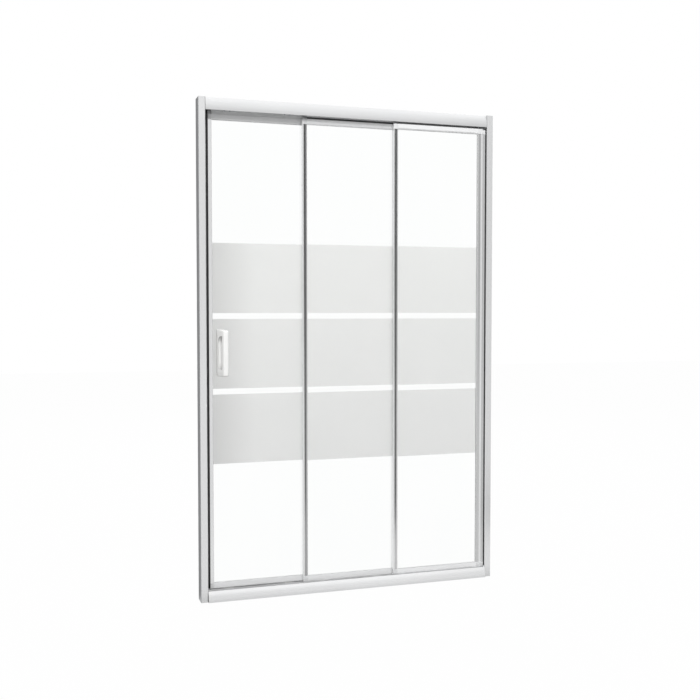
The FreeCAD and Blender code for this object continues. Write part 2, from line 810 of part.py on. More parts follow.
axle_pin = new_body("axle_pin")
roller_end = "roller_start + roller_width + roller_play"
axle_section = [
    ("-hanger_face - axle_head_height", "0"),
    (f"{roller_end} + axle_head_height", "0"),
    (f"{roller_end} + axle_head_height", "axle_shoulder / 2"),
    (roller_end, "axle_shoulder / 2"),
    (roller_end, "axle / 2"),
    ("roller_start - roller_play", "axle / 2"),
    ("roller_start - roller_play", "axle_shoulder / 2"),
    ("hanger_back", "axle_shoulder / 2"),
    ("hanger_back", "axle / 2"),
    ("-hanger_face", "axle / 2"),
    ("-hanger_face", "axle_shoulder / 2"),
    ("-hanger_face - axle_head_height", "axle_shoulder / 2"),
]
revolve(axle_pin, draw(axle_pin, "YZ", [axle_section]))


def roller(label, x, track):
    """A dished nylon roller that turns on its axle and runs on the header's ledge."""
    body = new_body(label, x, track, "axle_rise")
    section = [
        ("roller_start", "axle / 2 + axle_fit"),
        ("roller_start + roller_width", "axle / 2 + axle_fit"),
        ("roller_start + roller_width", "roller_hub"),
        ("roller_start + roller_width - roller_dish", "roller_hub"),
        ("roller_start + roller_width - roller_dish", "roller_radius - roller_rim"),
        ("roller_start + roller_width", "roller_radius - roller_rim"),
        ("roller_start + roller_width", "roller_radius - roller_edge"),
        ("roller_start + roller_width - roller_edge", "roller_radius"),
        ("roller_start + roller_edge", "roller_radius"),
        ("roller_start", "roller_radius - roller_edge"),
    ]
    revolve(body, draw(body, "YZ", [section]))
    return keep(body)


def leaf(name, track, left, right, left_kind, right_kind):
    """One framed leaf between its outer edges: stiles, rails, corners, glass and what carries it."""
    right_edge = f"({right} - tongue)" if right_kind == "tongue" else right
    inner_left = f"({left} + {STILE_WIDTHS[left_kind]})"
    inner_right = f"({right_edge} - {STILE_WIDTHS[right_kind]})"
    stile(name + "_left_stile", track, left, 1, left_kind)
    stile(name + "_right_stile", track, right_edge, -1, right_kind)
    rail(name + "_top_rail", track, inner_left, inner_right, top=True)
    rail(name + "_bottom_rail", track, inner_left, inner_right, top=False)
    left_block = corner_blocks[left_kind]
    right_block = corner_blocks[right_kind]
    group(name + "_corner_blocks", [
        (left_block, (left, track, "leaf_top"), None),
        (right_block, (right_edge, track, "leaf_top"), ((0, 0, 1), 180)),
        (left_block, (left, track, "leaf_rise"), ((1, 0, 0), 180)),
        (right_block, (right_edge, track, "leaf_rise"), ((0, 1, 0), 180)),
    ])
    glass = pane(name, track, inner_left, inner_right)
    stations = [f"{inner_left} + hanger_inset", f"{inner_right} - hanger_inset"]
    slides = right_kind != "tongue"
    carrier, foot = (hanger, sliding_shoe) if slides else (bracket, standing_shoe)
    group(name + ("_hangers" if slides else "_brackets"),
          [(carrier, (x, track, "axle_rise"), None) for x in stations])
    group(name + ("_hanger_screws" if slides else "_bracket_screws"),
          [(hanger_screw, (f"{x} + {half} * hanger_screw_pitch / 2", f"{track} - hanger_face - neck_wall",
                           "leaf_top + hanger_screw_rise"), ((0, 0, 1), -90))
           for x in stations for half in (-1, 1)])
    group(name + ("_guide_shoes" if slides else "_feet"),
          [(foot, (x, track, "leaf_rise"), None) for x in stations])
    if slides:
        group(name + "_axles", [(axle_pin, (x, track, "axle_rise"), None) for x in stations])
        for letter, x in zip("ab", stations):
            roller(f"{name}_roller_{letter}", x, track)
    return glass


leaf("fixed", "track_1", "fixed_left", "fixed_right", "rear fin", "tongue")
leaf("middle", "track_2", "middle_left", "middle_right", "rear fin", "front fin")
closing_glass = leaf("closing", "track_3", "closing_left", "closing_right", "flat", "front fin")
pile_strip("fixed_pile_strip", "track_1", "fixed_left")
pile_strip("middle_pile_strip", "track_2", "middle_left")


def top_brush(label, track, start, end):
    """A brush on the front shoulder of a top rail that closes the gap to the header."""
    body = new_body(label, x=start, y=track, z="leaf_top")
    strip = box("-hanger_face - neck_wall - brush_wall", "0", "-hanger_face - neck_wall", "brush_height")
    feature(body, "Pad", draw(body, "YZ", [strip]), f"{end} - ({start})")
    return keep(body)


top_brush("fixed_top_brush", "track_1", "fixed_left + stile_width", "fixed_right - tongue - wall_stile")
top_brush("middle_top_brush", "track_2", "middle_left + stile_width", "middle_right - rear_stile")

# Side seal: a gasket that grips the fixed leaf's tongue and fills the gap to the jamb.
side_seal = new_body("fixed_side_seal", y="track_1", z="leaf_rise")
gasket_half = "tongue_thick / 2 + jamb_seal_wall"
gasket = [
    ("opening", f"-({gasket_half})"),
    ("opening", gasket_half),
    ("fixed_right - jamb_seal_grip", gasket_half),
    ("fixed_right - jamb_seal_grip", "tongue_thick / 2"),
    ("fixed_right", "tongue_thick / 2"),
    ("fixed_right", "-tongue_thick / 2"),
    ("fixed_right - jamb_seal_grip", "-tongue_thick / 2"),
    ("fixed_right - jamb_seal_grip", f"-({gasket_half})"),
]
feature(side_seal, "Pad", draw(side_seal, "XY", [gasket]), "leaf_top - leaf_rise")
keep(side_seal)

# Closing edge: a tapered hollow seal on the closing stile that stands up into the header, with a magnet strip in
# its chamber.
edge_seal = new_body("closing_edge_seal", y="track_3", z="leaf_rise")
tip = "closing_left - edge_seal"
bulb = [
    ("closing_left", "-edge_seal_thick / 2"),
    ("closing_left", "edge_seal_thick / 2"),
    (f"{tip} + edge_seal_taper", "edge_seal_thick / 2"),
    (tip, "edge_seal_thick / 2 - edge_seal_taper"),
    (tip, "edge_seal_taper - edge_seal_thick / 2"),
    (f"{tip} + edge_seal_taper", "-edge_seal_thick / 2"),
]
chamber_half = "(edge_seal_thick / 2 - edge_seal_taper)"
chamber = box(f"{tip} + edge_seal_wall", f"-{chamber_half}",
              f"{tip} + edge_seal_wall + magnet_width + 2 * magnet_fit", chamber_half)
feature(edge_seal, "Pad", draw(edge_seal, "XY", [bulb, chamber]), "leaf_top - leaf_rise + edge_seal_rise")
keep(edge_seal)
magnet = new_body("closing_magnet", y="track_3", z="leaf_rise")
strip = box(f"{tip} + edge_seal_wall + magnet_fit", f"magnet_fit - {chamber_half}",
            f"{tip} + edge_seal_wall + magnet_fit + magnet_width", f"{chamber_half} - magnet_fit")
feature(magnet, "Pad", draw(magnet, "XY", [strip]), "leaf_top - leaf_rise")
keep(magnet)

# Track buffers: rubber blocks on the ledges, one past each sliding leaf's last hanger.
buffer = new_body("buffer")
block = box("0", "-hanger_face", "buffer_length", "web_place")
feature(buffer, "Pad", draw(buffer, "XY", [block]), "buffer_height")
last_hanger = "- rear_stile - hanger_inset + hanger_width / 2 + buffer_gap"
group("track_buffers", [
    (buffer, (f"middle_right {last_hanger} + middle_travel", "track_2", "running_face + lip_height"), None),
    (buffer, (f"closing_right {last_hanger} + middle_travel + closing_travel", "track_3",
              "running_face + lip_height"), None),
])

# Handle: a lofted pull that leans away from the closing edge and falls from its foot to its grip, with its
# finger gap cut through.
handle_holes = [("0", f"{half} * handle_hole_span / 2") for half in (-1, 1)]
handle = new_body("door_handle", "handle_place", "track_3", "handle_rise")
foot_outline = rounded_box("handle_width / 2", "handle_length / 2", "handle_round", rise="handle_flare")
grip_outline = rounded_box("handle_width / 2", "handle_length / 2", "handle_round", x="handle_offset")
loft = handle.newObject("PartDesign::AdditiveLoft", "door_handle_loft")
foot_sketch = draw(handle, "XZ", [foot_outline], lift="handle_face")
grip_sketch = draw(handle, "XZ", [grip_outline], lift="handle_face + handle_reach")
loft.Profile = foot_sketch
loft.Sections = [grip_sketch]
doc.recompute()
front = value_of("-handle_face - handle_reach")
grip_rims = [f"Edge{number}" for number, edge in enumerate(loft.Shape.Edges, start=1)
             if all(abs(vertex.Y - front) < 1e-6 for vertex in edge.Vertexes)]
softened = handle.newObject("PartDesign::Fillet", "door_handle_edges")
softened.Base = (loft, grip_rims)
softened.setExpression("Radius", full("handle_edge"))
doc.recompute()
gap_middle = "-handle_face - (handle_base + handle_reach - handle_grip) / 2"
gap_outline = rounded_box("(handle_reach - handle_base - handle_grip) / 2",
                          "(handle_length / 2 - handle_arm)", "handle_round", x=gap_middle)
feature(handle, "Pocket", draw(handle, "YZ", [gap_outline]), None, "Symmetric")
tapped = [(x, z, "handle_screw + handle_screw_clear") for x, z in handle_holes]
feature(handle, "Pocket", draw(handle, "XZ", circles=tapped, lift="handle_face"),
        "handle_screw_depth + 2 * handle_screw_clear", backwards=True)
keep(handle)

# Inside pull: a low plate with a finger scoop, bolted through the glass to the handle.
pull = new_body("inner_pull", "handle_place", "track_3", "handle_rise")
pull_outline = rounded_box("pull_width / 2", "handle_length / 2", "handle_round")
feature(pull, "Pad", draw(pull, "XZ", [pull_outline], lift="-handle_face"), "pull_thick", backwards=True)
scoop = rounded_box("scoop_width / 2", "scoop_length / 2", "handle_round")
feature(pull, "Pocket", draw(pull, "XZ", [scoop], lift="-handle_face - pull_thick"),
        "scoop_depth", backwards=True)
clear_holes = [(x, z, "handle_screw + 2 * handle_screw_clear") for x, z in handle_holes]
feature(pull, "Pocket", draw(pull, "XZ", circles=clear_holes), None, "Symmetric")
head_holes = [(x, z, "handle_screw_head + 2 * handle_screw_clear") for x, z in handle_holes]
feature(pull, "Pocket", draw(pull, "XZ", circles=head_holes, lift="-handle_face - pull_thick"),
        "head_recess", backwards=True)
keep(pull)

# Bushes in the glass and the two screws that clamp pull, glass and handle.
glass_holes = [(f"handle_place + {x}", f"handle_rise + {z}", "bush + 2 * bush_fit") for x, z in handle_holes]
feature(closing_glass, "Pocket", draw(closing_glass, "XZ", circles=glass_holes), None, "Symmetric")
bush = new_body("bush_seed")
ring = [("0", "0", "bush"), ("0", "0", "handle_screw + 2 * handle_screw_clear")]
feature(bush, "Pad", draw(bush, "XZ", circles=ring), "glass_thick", "Symmetric")
bolt = screw("handle_bolt", "handle_screw", "glass_thick + pull_thick - head_recess + handle_screw_depth",
             "handle_screw_head", "handle_screw_head_height")
places = [(f"handle_place + {x}", f"handle_rise + {z}") for x, z in handle_holes]
group("handle_bushes", [(bush, (x, "track_3", z), None) for x, z in places])
group("handle_screws", [
    (bolt, (x, "track_3 + handle_face + pull_thick - head_recess", z), ((0, 0, 1), 90)) for x, z in places
])

doc.recompute()
for thing in doc.Objects:
    if "Invalid" in thing.State or "Error" in thing.State:
        raise RuntimeError(f"{thing.Label} failed: {thing.State}")
for node in nodes:
    if node.Shape.isNull() or not node.Shape.isValid() or not node.Shape.Solids:
        raise RuntimeError(f"{node.Label} has no valid solid")

os.makedirs("parts", exist_ok=True)
for node in nodes:
    node.Shape.exportStep(f"parts/{node.Label}.step")
print(len(nodes), "nodes,", sum(len(node.Shape.Solids) for node in nodes), "solids")
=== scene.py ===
"""Looks of a sliding shower door: an aluminium frame, one fixed leaf and two leaves that slide behind it.

Metres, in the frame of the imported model. The sections follow the door as a fitter puts it together.
"""
import bmesh
import bpy
import math
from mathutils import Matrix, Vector


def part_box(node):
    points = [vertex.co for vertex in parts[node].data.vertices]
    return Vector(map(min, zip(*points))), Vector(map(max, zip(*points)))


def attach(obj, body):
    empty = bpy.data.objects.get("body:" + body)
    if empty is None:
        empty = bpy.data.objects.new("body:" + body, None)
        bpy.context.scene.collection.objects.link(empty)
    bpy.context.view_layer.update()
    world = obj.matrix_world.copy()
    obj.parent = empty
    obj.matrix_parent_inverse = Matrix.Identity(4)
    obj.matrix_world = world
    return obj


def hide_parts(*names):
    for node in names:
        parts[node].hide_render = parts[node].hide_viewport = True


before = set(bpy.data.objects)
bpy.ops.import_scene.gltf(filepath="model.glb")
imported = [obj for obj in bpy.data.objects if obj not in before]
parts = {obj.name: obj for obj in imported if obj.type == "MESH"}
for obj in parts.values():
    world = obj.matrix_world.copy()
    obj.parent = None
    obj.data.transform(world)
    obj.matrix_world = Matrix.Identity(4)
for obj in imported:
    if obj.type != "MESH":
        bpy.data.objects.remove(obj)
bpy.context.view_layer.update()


# Wall profiles: plain aluminium channels, straight from the press and not anodised. They are screwed to both
# walls first, and the jambs slide over them, so only their ends and edges are seen.
def put(tree, kind, inputs=None, **settings):
    """Adds a node. An input is a value, or the output of another node."""
    node = tree.nodes.new(kind)
    for name, value in settings.items():
        setattr(node, name, value)
    for name, value in (inputs or {}).items():
        if isinstance(value, bpy.types.NodeSocket):
            tree.links.new(value, node.inputs[name])
        else:
            node.inputs[name].default_value = value
    return node


def new_finish(name, **constants):
    """A material with its shader's fixed values set, and its tree and shader for the rest."""
    material = bpy.data.materials.new(name)
    material.use_nodes = True
    shader = material.node_tree.nodes["Principled BSDF"]
    for socket, value in constants.items():
        shader.inputs[socket.replace("_", " ")].default_value = value
    return material, material.node_tree, shader


def stretched_noise(tree, scale, along=None, slow=1.0, detail=3.0):
    """Noise of one scale per metre, drawn out along one axis."""
    place = put(tree, "ShaderNodeTexCoord").outputs["Object"]
    stretch = [scale, scale, scale]
    if along is not None:
        stretch[along] = slow
    mapped = put(tree, "ShaderNodeMapping", {"Vector": place, "Scale": stretch}).outputs["Vector"]
    return put(tree, "ShaderNodeTexNoise", {"Vector": mapped, "Scale": 1.0, "Detail": detail}).outputs["Fac"]


def shades(tree, value, dark, light, low=0.3, high=0.7):
    """A colour between two shades that follows a value."""
    ramp = put(tree, "ShaderNodeValToRGB", {"Fac": value})
    for element, place, colour in zip(ramp.color_ramp.elements, (low, high), (dark, light)):
        element.position = place
        element.color = (*colour, 1)
    return ramp.outputs["Color"]


def ranged(tree, value, low, high, start=0.0, end=1.0):
    """A value's stretch from start to end, laid over the stretch from low to high."""
    return put(tree, "ShaderNodeMapRange", {"Value": value, "From Min": start, "From Max": end,
                                            "To Min": low, "To Max": high}).outputs["Result"]


def mixed(tree, share, first, second, blend="MIX"):
    """Two colours, mixed by a share."""
    return put(tree, "ShaderNodeMixRGB", {"Fac": share, "Color1": first, "Color2": second},
               blend_type=blend).outputs["Color"]


# The hollow share is painted shade: it darkens the colour of faces marked as hollow.
RUBBED_GAIN, RUBBED_SHARE, HOLLOW_SHADE, GLOSS_SPREAD = 1.08, 0.35, 0.5, 0.06


def drawn_aluminium(name, along, dark, light, rough, metal):
    """Extruded aluminium: die lines along one axis, clouds of tone, bright rubbed edges and painted shade in
    hollows.
    """
    material, tree, shader = new_finish(name, Metallic=metal)
    lines = stretched_noise(tree, 1400.0, along, slow=2.5)
    cloud = stretched_noise(tree, 9.0, along, slow=1.3, detail=4.0)
    tone = shades(tree, cloud, dark, light)
    edge = put(tree, "ShaderNodeBevel", {"Radius": 0.0005}, samples=4).outputs["Normal"]
    flat = put(tree, "ShaderNodeNewGeometry").outputs["Normal"]
    turn = put(tree, "ShaderNodeVectorMath", {0: edge, 1: flat}, operation="DOT_PRODUCT").outputs["Value"]
    rubbed = ranged(tree, turn, 0.0, RUBBED_SHARE, start=0.99, end=0.9)
    bright = tuple(min(1.0, RUBBED_GAIN * shade) for shade in light)
    worn = mixed(tree, rubbed, tone, (*bright, 1))
    # Painted shade: faces marked hollow, the stiles' coves and tongues, are darkened towards a dull shade.
    hollow = put(tree, "ShaderNodeAttribute", attribute_name="hollow").outputs["Fac"]
    shade_colour = tuple(HOLLOW_SHADE * shade for shade in dark)
    tree.links.new(mixed(tree, hollow, worn, (*shade_colour, 1)), shader.inputs["Base Color"])
    gloss = ranged(tree, lines, rough - GLOSS_SPREAD, rough + GLOSS_SPREAD)
    tree.links.new(gloss, shader.inputs["Roughness"])
    relief = put(tree, "ShaderNodeBump", {"Height": lines, "Strength": 0.12, "Distance": 0.00006,
                                          "Normal": edge})
    tree.links.new(relief.outputs["Normal"], shader.inputs["Normal"])
    return material


def dress(material, *names):
    """Gives CAD nodes their finish."""
    for name in names:
        slots = parts[name].data.materials
        slots.clear()
        slots.append(material)


X_AXIS, Z_AXIS = 0, 2
mill_upright = drawn_aluminium("mill_aluminium_upright", Z_AXIS, (0.60, 0.61, 0.62), (0.68, 0.69, 0.70),
                               rough=0.42, metal=0.9)
dress(mill_upright, "wall_profile_left", "wall_profile_right")

# Jambs: satin anodised aluminium channels with a rounded corner on the opening's side, slid over the wall
# profiles and held there from the shower side.
SATIN_METAL = 0.9
satin_upright = drawn_aluminium("satin_aluminium_upright", Z_AXIS, (0.82, 0.825, 0.83), (0.87, 0.875, 0.88),
                                rough=0.24, metal=SATIN_METAL)
dress(satin_upright, "jamb_left", "jamb_right")

# Header and sill: two satin anodised extrusions between the jambs, with the running ledges above and the
# guide ribs below. The sill is a lit copy of the header's finish: its colour is brighter as painted light.
satin_level = drawn_aluminium("satin_aluminium_level", X_AXIS, (0.755, 0.76, 0.765), (0.80, 0.805, 0.81),
                              rough=0.32, metal=SATIN_METAL)
lit_level = drawn_aluminium("lit_aluminium_level", X_AXIS, (0.88, 0.885, 0.89), (0.93, 0.935, 0.94),
                               rough=0.28, metal=SATIN_METAL)
dress(satin_level, "header_rail")
dress(lit_level, "sill_rail")


# Frame screws and jamb screws: zinc plated pan heads with a cross recess. The long ones pull header and sill
# between the jambs, and the short ones fix the jambs to the wall profiles from the shower side.
def new_tree(name, **sizes):
    """A geometry tree with named inputs, given as socket kind and value, and its two end nodes."""
    tree = bpy.data.node_groups.new(name, "GeometryNodeTree")
    tree.interface.new_socket("Geometry", in_out="INPUT", socket_type="NodeSocketGeometry")
    for label, (kind, value) in sizes.items():
        socket = tree.interface.new_socket(label, in_out="INPUT", socket_type="NodeSocket" + kind)
        if value is not None:
            socket.default_value = value
    tree.interface.new_socket("Geometry", in_out="OUTPUT", socket_type="NodeSocketGeometry")
    return tree, put(tree, "NodeGroupInput").outputs, put(tree, "NodeGroupOutput").inputs["Geometry"]


def math_on(tree, operation, first, second=0.0):
    return put(tree, "ShaderNodeMath", {0: first, 1: second}, operation=operation).outputs["Value"]


def joined(tree, *pieces):
    join = put(tree, "GeometryNodeJoinGeometry")
    for piece in pieces:
        tree.links.new(piece, join.inputs["Geometry"])
    return join.outputs["Geometry"]


def finished(tree, pieces, finish, out):
    """Makes a tree's instances real, gives them their finish and sends them out."""
    solid = put(tree, "GeometryNodeRealizeInstances", {"Geometry": pieces}).outputs["Geometry"]
    done = put(tree, "GeometryNodeSetMaterial", {"Geometry": solid, "Material": finish})
    tree.links.new(done.outputs["Geometry"], out)


def pan_head_tree():
    """A domed head with a cross cut into it and a plain shank, set on each point of the mesh.

    One bar of the cross is cut a little deeper, so that the floors of the two never lie in one plane.
    """
    tree, given, out = new_tree(
        "pan_head_screws", head=("Float", 0.007), rise=("Float", 0.0022), shank=("Float", 0.0034),
        length=("Float", 0.005), slot_width=("Float", 0.0009), slot_span=("Float", 0.004),
        slot_depth=("Float", 0.0013), heads_towards=("Vector", (0.0, 1.0, 0.0)), seed=("Int", 3),
        finish=("Material", None))
    radius = math_on(tree, "MULTIPLY", given["head"], 0.5)
    blank = put(tree, "GeometryNodeMeshCone", {
        "Vertices": 32, "Side Segments": 8, "Radius Top": 0.0004, "Radius Bottom": radius,
        "Depth": given["rise"]}).outputs["Mesh"]
    place = put(tree, "GeometryNodeInputPosition").outputs["Position"]
    axes = put(tree, "ShaderNodeSeparateXYZ", {"Vector": place}).outputs
    level = put(tree, "ShaderNodeCombineXYZ", {"X": axes["X"], "Y": axes["Y"]}).outputs["Vector"]
    reach = put(tree, "ShaderNodeVectorMath", {0: level}, operation="LENGTH").outputs["Value"]
    share = math_on(tree, "POWER", math_on(tree, "DIVIDE", reach, radius), 3.0)
    crown = math_on(tree, "POWER", math_on(tree, "MAXIMUM", math_on(tree, "SUBTRACT", 1.0, share), 0.0), 0.5)
    dome = math_on(tree, "MULTIPLY", crown, given["rise"])
    domed = put(tree, "ShaderNodeCombineXYZ", {"X": axes["X"], "Y": axes["Y"], "Z": dome}).outputs["Vector"]
    head = put(tree, "GeometryNodeSetPosition", {"Geometry": blank, "Position": domed}).outputs["Geometry"]
    cut = put(tree, "GeometryNodeMeshBoolean", {"Mesh 1": head}, operation="DIFFERENCE")
    for along, across, deep in (("X", "Y", 2.0), ("Y", "X", 2.1)):
        slot_height = math_on(tree, "MULTIPLY", given["slot_depth"], deep)
        size = put(tree, "ShaderNodeCombineXYZ", {along: given["slot_span"], across: given["slot_width"],
                                                  "Z": slot_height}).outputs["Vector"]
        bar = put(tree, "GeometryNodeMeshCube", {"Size": size}).outputs["Mesh"]
        lift = put(tree, "ShaderNodeCombineXYZ", {"Z": given["rise"]}).outputs["Vector"]
        raised = put(tree, "GeometryNodeTransform", {"Geometry": bar, "Translation": lift})
        tree.links.new(raised.outputs["Geometry"], cut.inputs["Mesh 2"])
    stem = put(tree, "GeometryNodeMeshCylinder", {
        "Vertices": 16, "Radius": math_on(tree, "MULTIPLY", given["shank"], 0.5),
        "Depth": given["length"]}).outputs["Mesh"]
    drop = put(tree, "ShaderNodeCombineXYZ", {"Z": math_on(tree, "MULTIPLY", given["length"], -0.5)})
    stem = put(tree, "GeometryNodeTransform", {
        "Geometry": stem, "Translation": drop.outputs["Vector"]}).outputs["Geometry"]
    aimed = put(tree, "FunctionNodeAlignRotationToVector", {"Vector": given["heads_towards"]}, axis="Z")
    turn = put(tree, "FunctionNodeRandomValue", {"Max": 2 * math.pi, "Seed": given["seed"]},
               data_type="FLOAT")
    spun = put(tree, "FunctionNodeAxisAngleToRotation", {
        "Axis": (0.0, 0.0, 1.0), "Angle": next(s for s in turn.outputs if s.enabled)}).outputs["Rotation"]
    stance = put(tree, "FunctionNodeRotateRotation", {
        "Rotation": aimed.outputs["Rotation"], "Rotate By": spun}, rotation_space="LOCAL").outputs["Rotation"]
    points = put(tree, "GeometryNodeMeshToPoints", {"Mesh": given["Geometry"]}).outputs["Points"]
    row = put(tree, "GeometryNodeInstanceOnPoints", {
        "Points": points, "Instance": joined(tree, cut.outputs["Mesh"], stem), "Rotation": stance})
    finished(tree, row.outputs["Instances"], given["finish"], out)
    return tree


def grown(name, tree, points, **sizes):
    """The plain mesh that a tree makes on a few points, as a new object."""
    mesh = bpy.data.meshes.new(name)
    mesh.from_pydata(points, [], [])
    thing = bpy.data.objects.new(name, mesh)
    bpy.context.scene.collection.objects.link(thing)
    maker = thing.modifiers.new("maker", "NODES")
    maker.node_group = tree
    for socket in tree.interface.items_tree:
        if socket.in_out == "INPUT" and socket.name in sizes:
            maker[socket.identifier] = sizes[socket.name]
    seen = thing.evaluated_get(bpy.context.evaluated_depsgraph_get())
    made = bpy.data.meshes.new_from_object(seen)
    thing.modifiers.remove(maker)
    thing.data = made
    made.name = name
    return thing


def zinc_plate(name):
    """Zinc plated steel: cool grey with cloudy crystals, bluish in places, and soft on its edges."""
    material, tree, shader = new_finish(name, Metallic=1.0)
    cloud = stretched_noise(tree, 420.0, detail=4.0)
    edge = put(tree, "ShaderNodeBevel", {"Radius": 0.0003}, samples=4).outputs["Normal"]
    tree.links.new(shades(tree, cloud, (0.52, 0.54, 0.57), (0.68, 0.69, 0.69)), shader.inputs["Base Color"])
    tree.links.new(ranged(tree, cloud, 0.28, 0.42), shader.inputs["Roughness"])
    relief = put(tree, "ShaderNodeBump", {"Height": cloud, "Strength": 0.1, "Distance": 0.00005,
                                          "Normal": edge})
    tree.links.new(relief.outputs["Normal"], shader.inputs["Normal"])
    return material


zinc = zinc_plate("zinc_plated_steel")
dress(zinc, "frame_screws")
pan_heads = pan_head_tree()
JAMB_SCREW_LEVELS = (0.195, 0.945, 1.695)
HEAD, HEAD_RISE = 0.007, 0.0022
SHORT_SCREW = {"head": HEAD, "rise": HEAD_RISE, "shank": 0.0034, "slot_width": 0.0009, "slot_span": 0.0042,
               "slot_depth": 0.0012}
low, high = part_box("jamb_screws")
jamb_screws = grown(
    "jamb_screws_cross", pan_heads,
    [(x, high.y - HEAD_RISE, z) for x in (low.x + HEAD / 2, high.x - HEAD / 2) for z in JAMB_SCREW_LEVELS],
    length=high.y - low.y - HEAD_RISE, heads_towards=(0.0, 1.0, 0.0), seed=4, finish=zinc, **SHORT_SCREW)
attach(jamb_screws, "frame")
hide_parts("jamb_screws")


# Jamb caps: grey moulded plugs that close the tops of the jambs. Track buffers: black rubber blocks pressed
# onto the running ledges, where they stop the sliding leaves.
SKIN_SPREAD = 0.05


def moulded(name, dark, light, rough, grain=2600.0, **constants):
    """Moulded plastic or rubber: a fine skin texture and a slight change of tone."""
    material, tree, shader = new_finish(name, **constants)
    skin = stretched_noise(tree, grain, detail=2.0)
    tone = stretched_noise(tree, 30.0)
    tree.links.new(shades(tree, tone, dark, light), shader.inputs["Base Color"])
    tree.links.new(ranged(tree, skin, rough - SKIN_SPREAD, rough + SKIN_SPREAD), shader.inputs["Roughness"])
    edge = put(tree, "ShaderNodeBevel", {"Radius": 0.0004}, samples=4).outputs["Normal"]
    relief = put(tree, "ShaderNodeBump", {"Height": skin, "Strength": 0.1, "Distance": 0.00005,
                                          "Normal": edge})
    tree.links.new(relief.outputs["Normal"], shader.inputs["Normal"])
    return material


grey_plastic = moulded("grey_plastic", (0.78, 0.785, 0.79), (0.84, 0.845, 0.85), rough=0.42)
black_rubber = moulded("black_rubber", (0.012, 0.012, 0.013), (0.022, 0.022, 0.023), rough=0.55)
dress(grey_plastic, "jamb_caps")
dress(black_rubber, "track_buffers")


# Sill wiper: a soft grey strip with a bead at its foot, pressed onto the sill's front edge before the leaves
# go in. Its thin lip keeps splashes behind the front leaf.
def skinned(name, slices, bowls=()):
    """A closed skin over slices of one or more rings each. Bowls, rows of rings, sink from the last slice."""
    work = bmesh.new()

    def planted(rings):
        return [[work.verts.new(point) for point in ring] for ring in rings]

    def walled(first, last):
        for index in range(len(first)):
            work.faces.new((first[index - 1], first[index], last[index], last[index - 1]))

    def closed(rings):
        rims = [work.edges.get((ring[index - 1], ring[index]))
                for ring in rings for index in range(len(ring))]
        bmesh.ops.triangle_fill(work, use_beauty=True, edges=rims)

    layers = [planted(rings) for rings in slices]
    hollows = [planted(rings) for rings in bowls]
    for first, last in zip(layers, layers[1:]):
        for ring, next_ring in zip(first, last):
            walled(ring, next_ring)
    for hollow in hollows:
        for ring, next_ring in zip(hollow, hollow[1:]):
            walled(ring, next_ring)
        closed([hollow[-1]])
    closed(layers[0])
    closed(layers[-1] + [hollow[0] for hollow in hollows])
    bmesh.ops.recalc_face_normals(work, faces=work.faces)
    mesh = bpy.data.meshes.new(name)
    work.to_mesh(mesh)
    work.free()
    piece = bpy.data.objects.new(name, mesh)
    bpy.context.scene.collection.objects.link(piece)
    return piece


def strip(name, section, start, end, along, hole=()):
    """A strip of one closed section, with an optional hole, run along an axis and capped at both ends."""
    def at(place, outline):
        return [(*point[:along], place, *point[along:]) for point in outline]

    return skinned(name, [[at(place, outline) for outline in (section, hole) if outline]
                          for place in (start, end)])


def softened(section, radius, steps=3, longest=0.45):
    """The section with each corner rounded by a short curve that leaves the middle of each side straight."""
    points = [Vector(point) for point in section]
    rounded = []
    for index, corner in enumerate(points):
        before, after = points[index - 1], points[(index + 1) % len(points)]
        back, forth = before - corner, after - corner
        reach = min(radius, longest * back.length, longest * forth.length)
        first, last = corner + back.normalized() * reach, corner + forth.normalized() * reach
        for step in range(steps + 1):
            share = step / steps
            rounded.append(first * (1 - share) ** 2 + corner * 2 * share * (1 - share) + last * share ** 2)
    return [tuple(point) for point in rounded]


def smooth(piece, angle=40):
    """Smooth shading, with sharp edges kept past an angle."""
    piece.data.shade_smooth()
    piece.data.set_sharp_from_angle(angle=math.radians(angle))


grey_rubber = moulded("grey_rubber", (0.84, 0.845, 0.85), (0.9, 0.905, 0.91), rough=0.5, IOR=1.2,
                      Transmission_Weight=0.7)
low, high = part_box("sill_wiper")
WIPER_BEAD, WIPER_LIP, WIPER_ROUND = 0.0022, 0.0007, 0.0004
NECK_RISE, NECK_FRONT, NECK_BACK = 0.0006, 0.0003, 0.0002
bead_top = low.z + WIPER_BEAD
wiper_section = [
    (low.y, low.z), (high.y, low.z), (high.y, bead_top), (high.y - NECK_FRONT, bead_top + NECK_RISE),
    (high.y, high.z), (high.y - WIPER_LIP, high.z), (low.y + NECK_BACK, bead_top + NECK_RISE),
    (low.y, bead_top)]
wiper = strip("sill_wiper_lip", softened(wiper_section, WIPER_ROUND), low.x, high.x, X_AXIS)
wiper.data.materials.append(grey_rubber)
smooth(wiper)
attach(wiper, "frame")
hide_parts("sill_wiper")

# Leaf frames: satin anodised stiles with a flat land and a hollow cove, and matt rails with bevelled lips,
# pushed over the spigots of grey moulded corner blocks. The three stiles that face the room have deeper
# coves, with painted shade that darkens their colour in the coves.
matt_level = drawn_aluminium("matt_aluminium_level", X_AXIS, (0.89, 0.895, 0.9), (0.935, 0.94, 0.945),
                             rough=0.42, metal=0.15)
leaves = {"fixed": "frame", "middle": "middle_leaf", "closing": "closing_leaf"}
dress(satin_upright, "closing_left_stile", "closing_right_stile", "middle_right_stile")
for leaf in leaves:
    dress(matt_level, f"{leaf}_top_rail", f"{leaf}_bottom_rail")
    dress(grey_plastic, f"{leaf}_corner_blocks")


def coved(first, last, sink, steps=8):
    """A shallow hollow curve between two points of a section."""
    first, last = Vector(first), Vector(last)
    inward = (last - first).orthogonal().normalized()
    shares = [step / steps for step in range(steps + 1)]
    return [tuple(first.lerp(last, share) + inward * (4 * sink * share * (1 - share))) for share in shares]


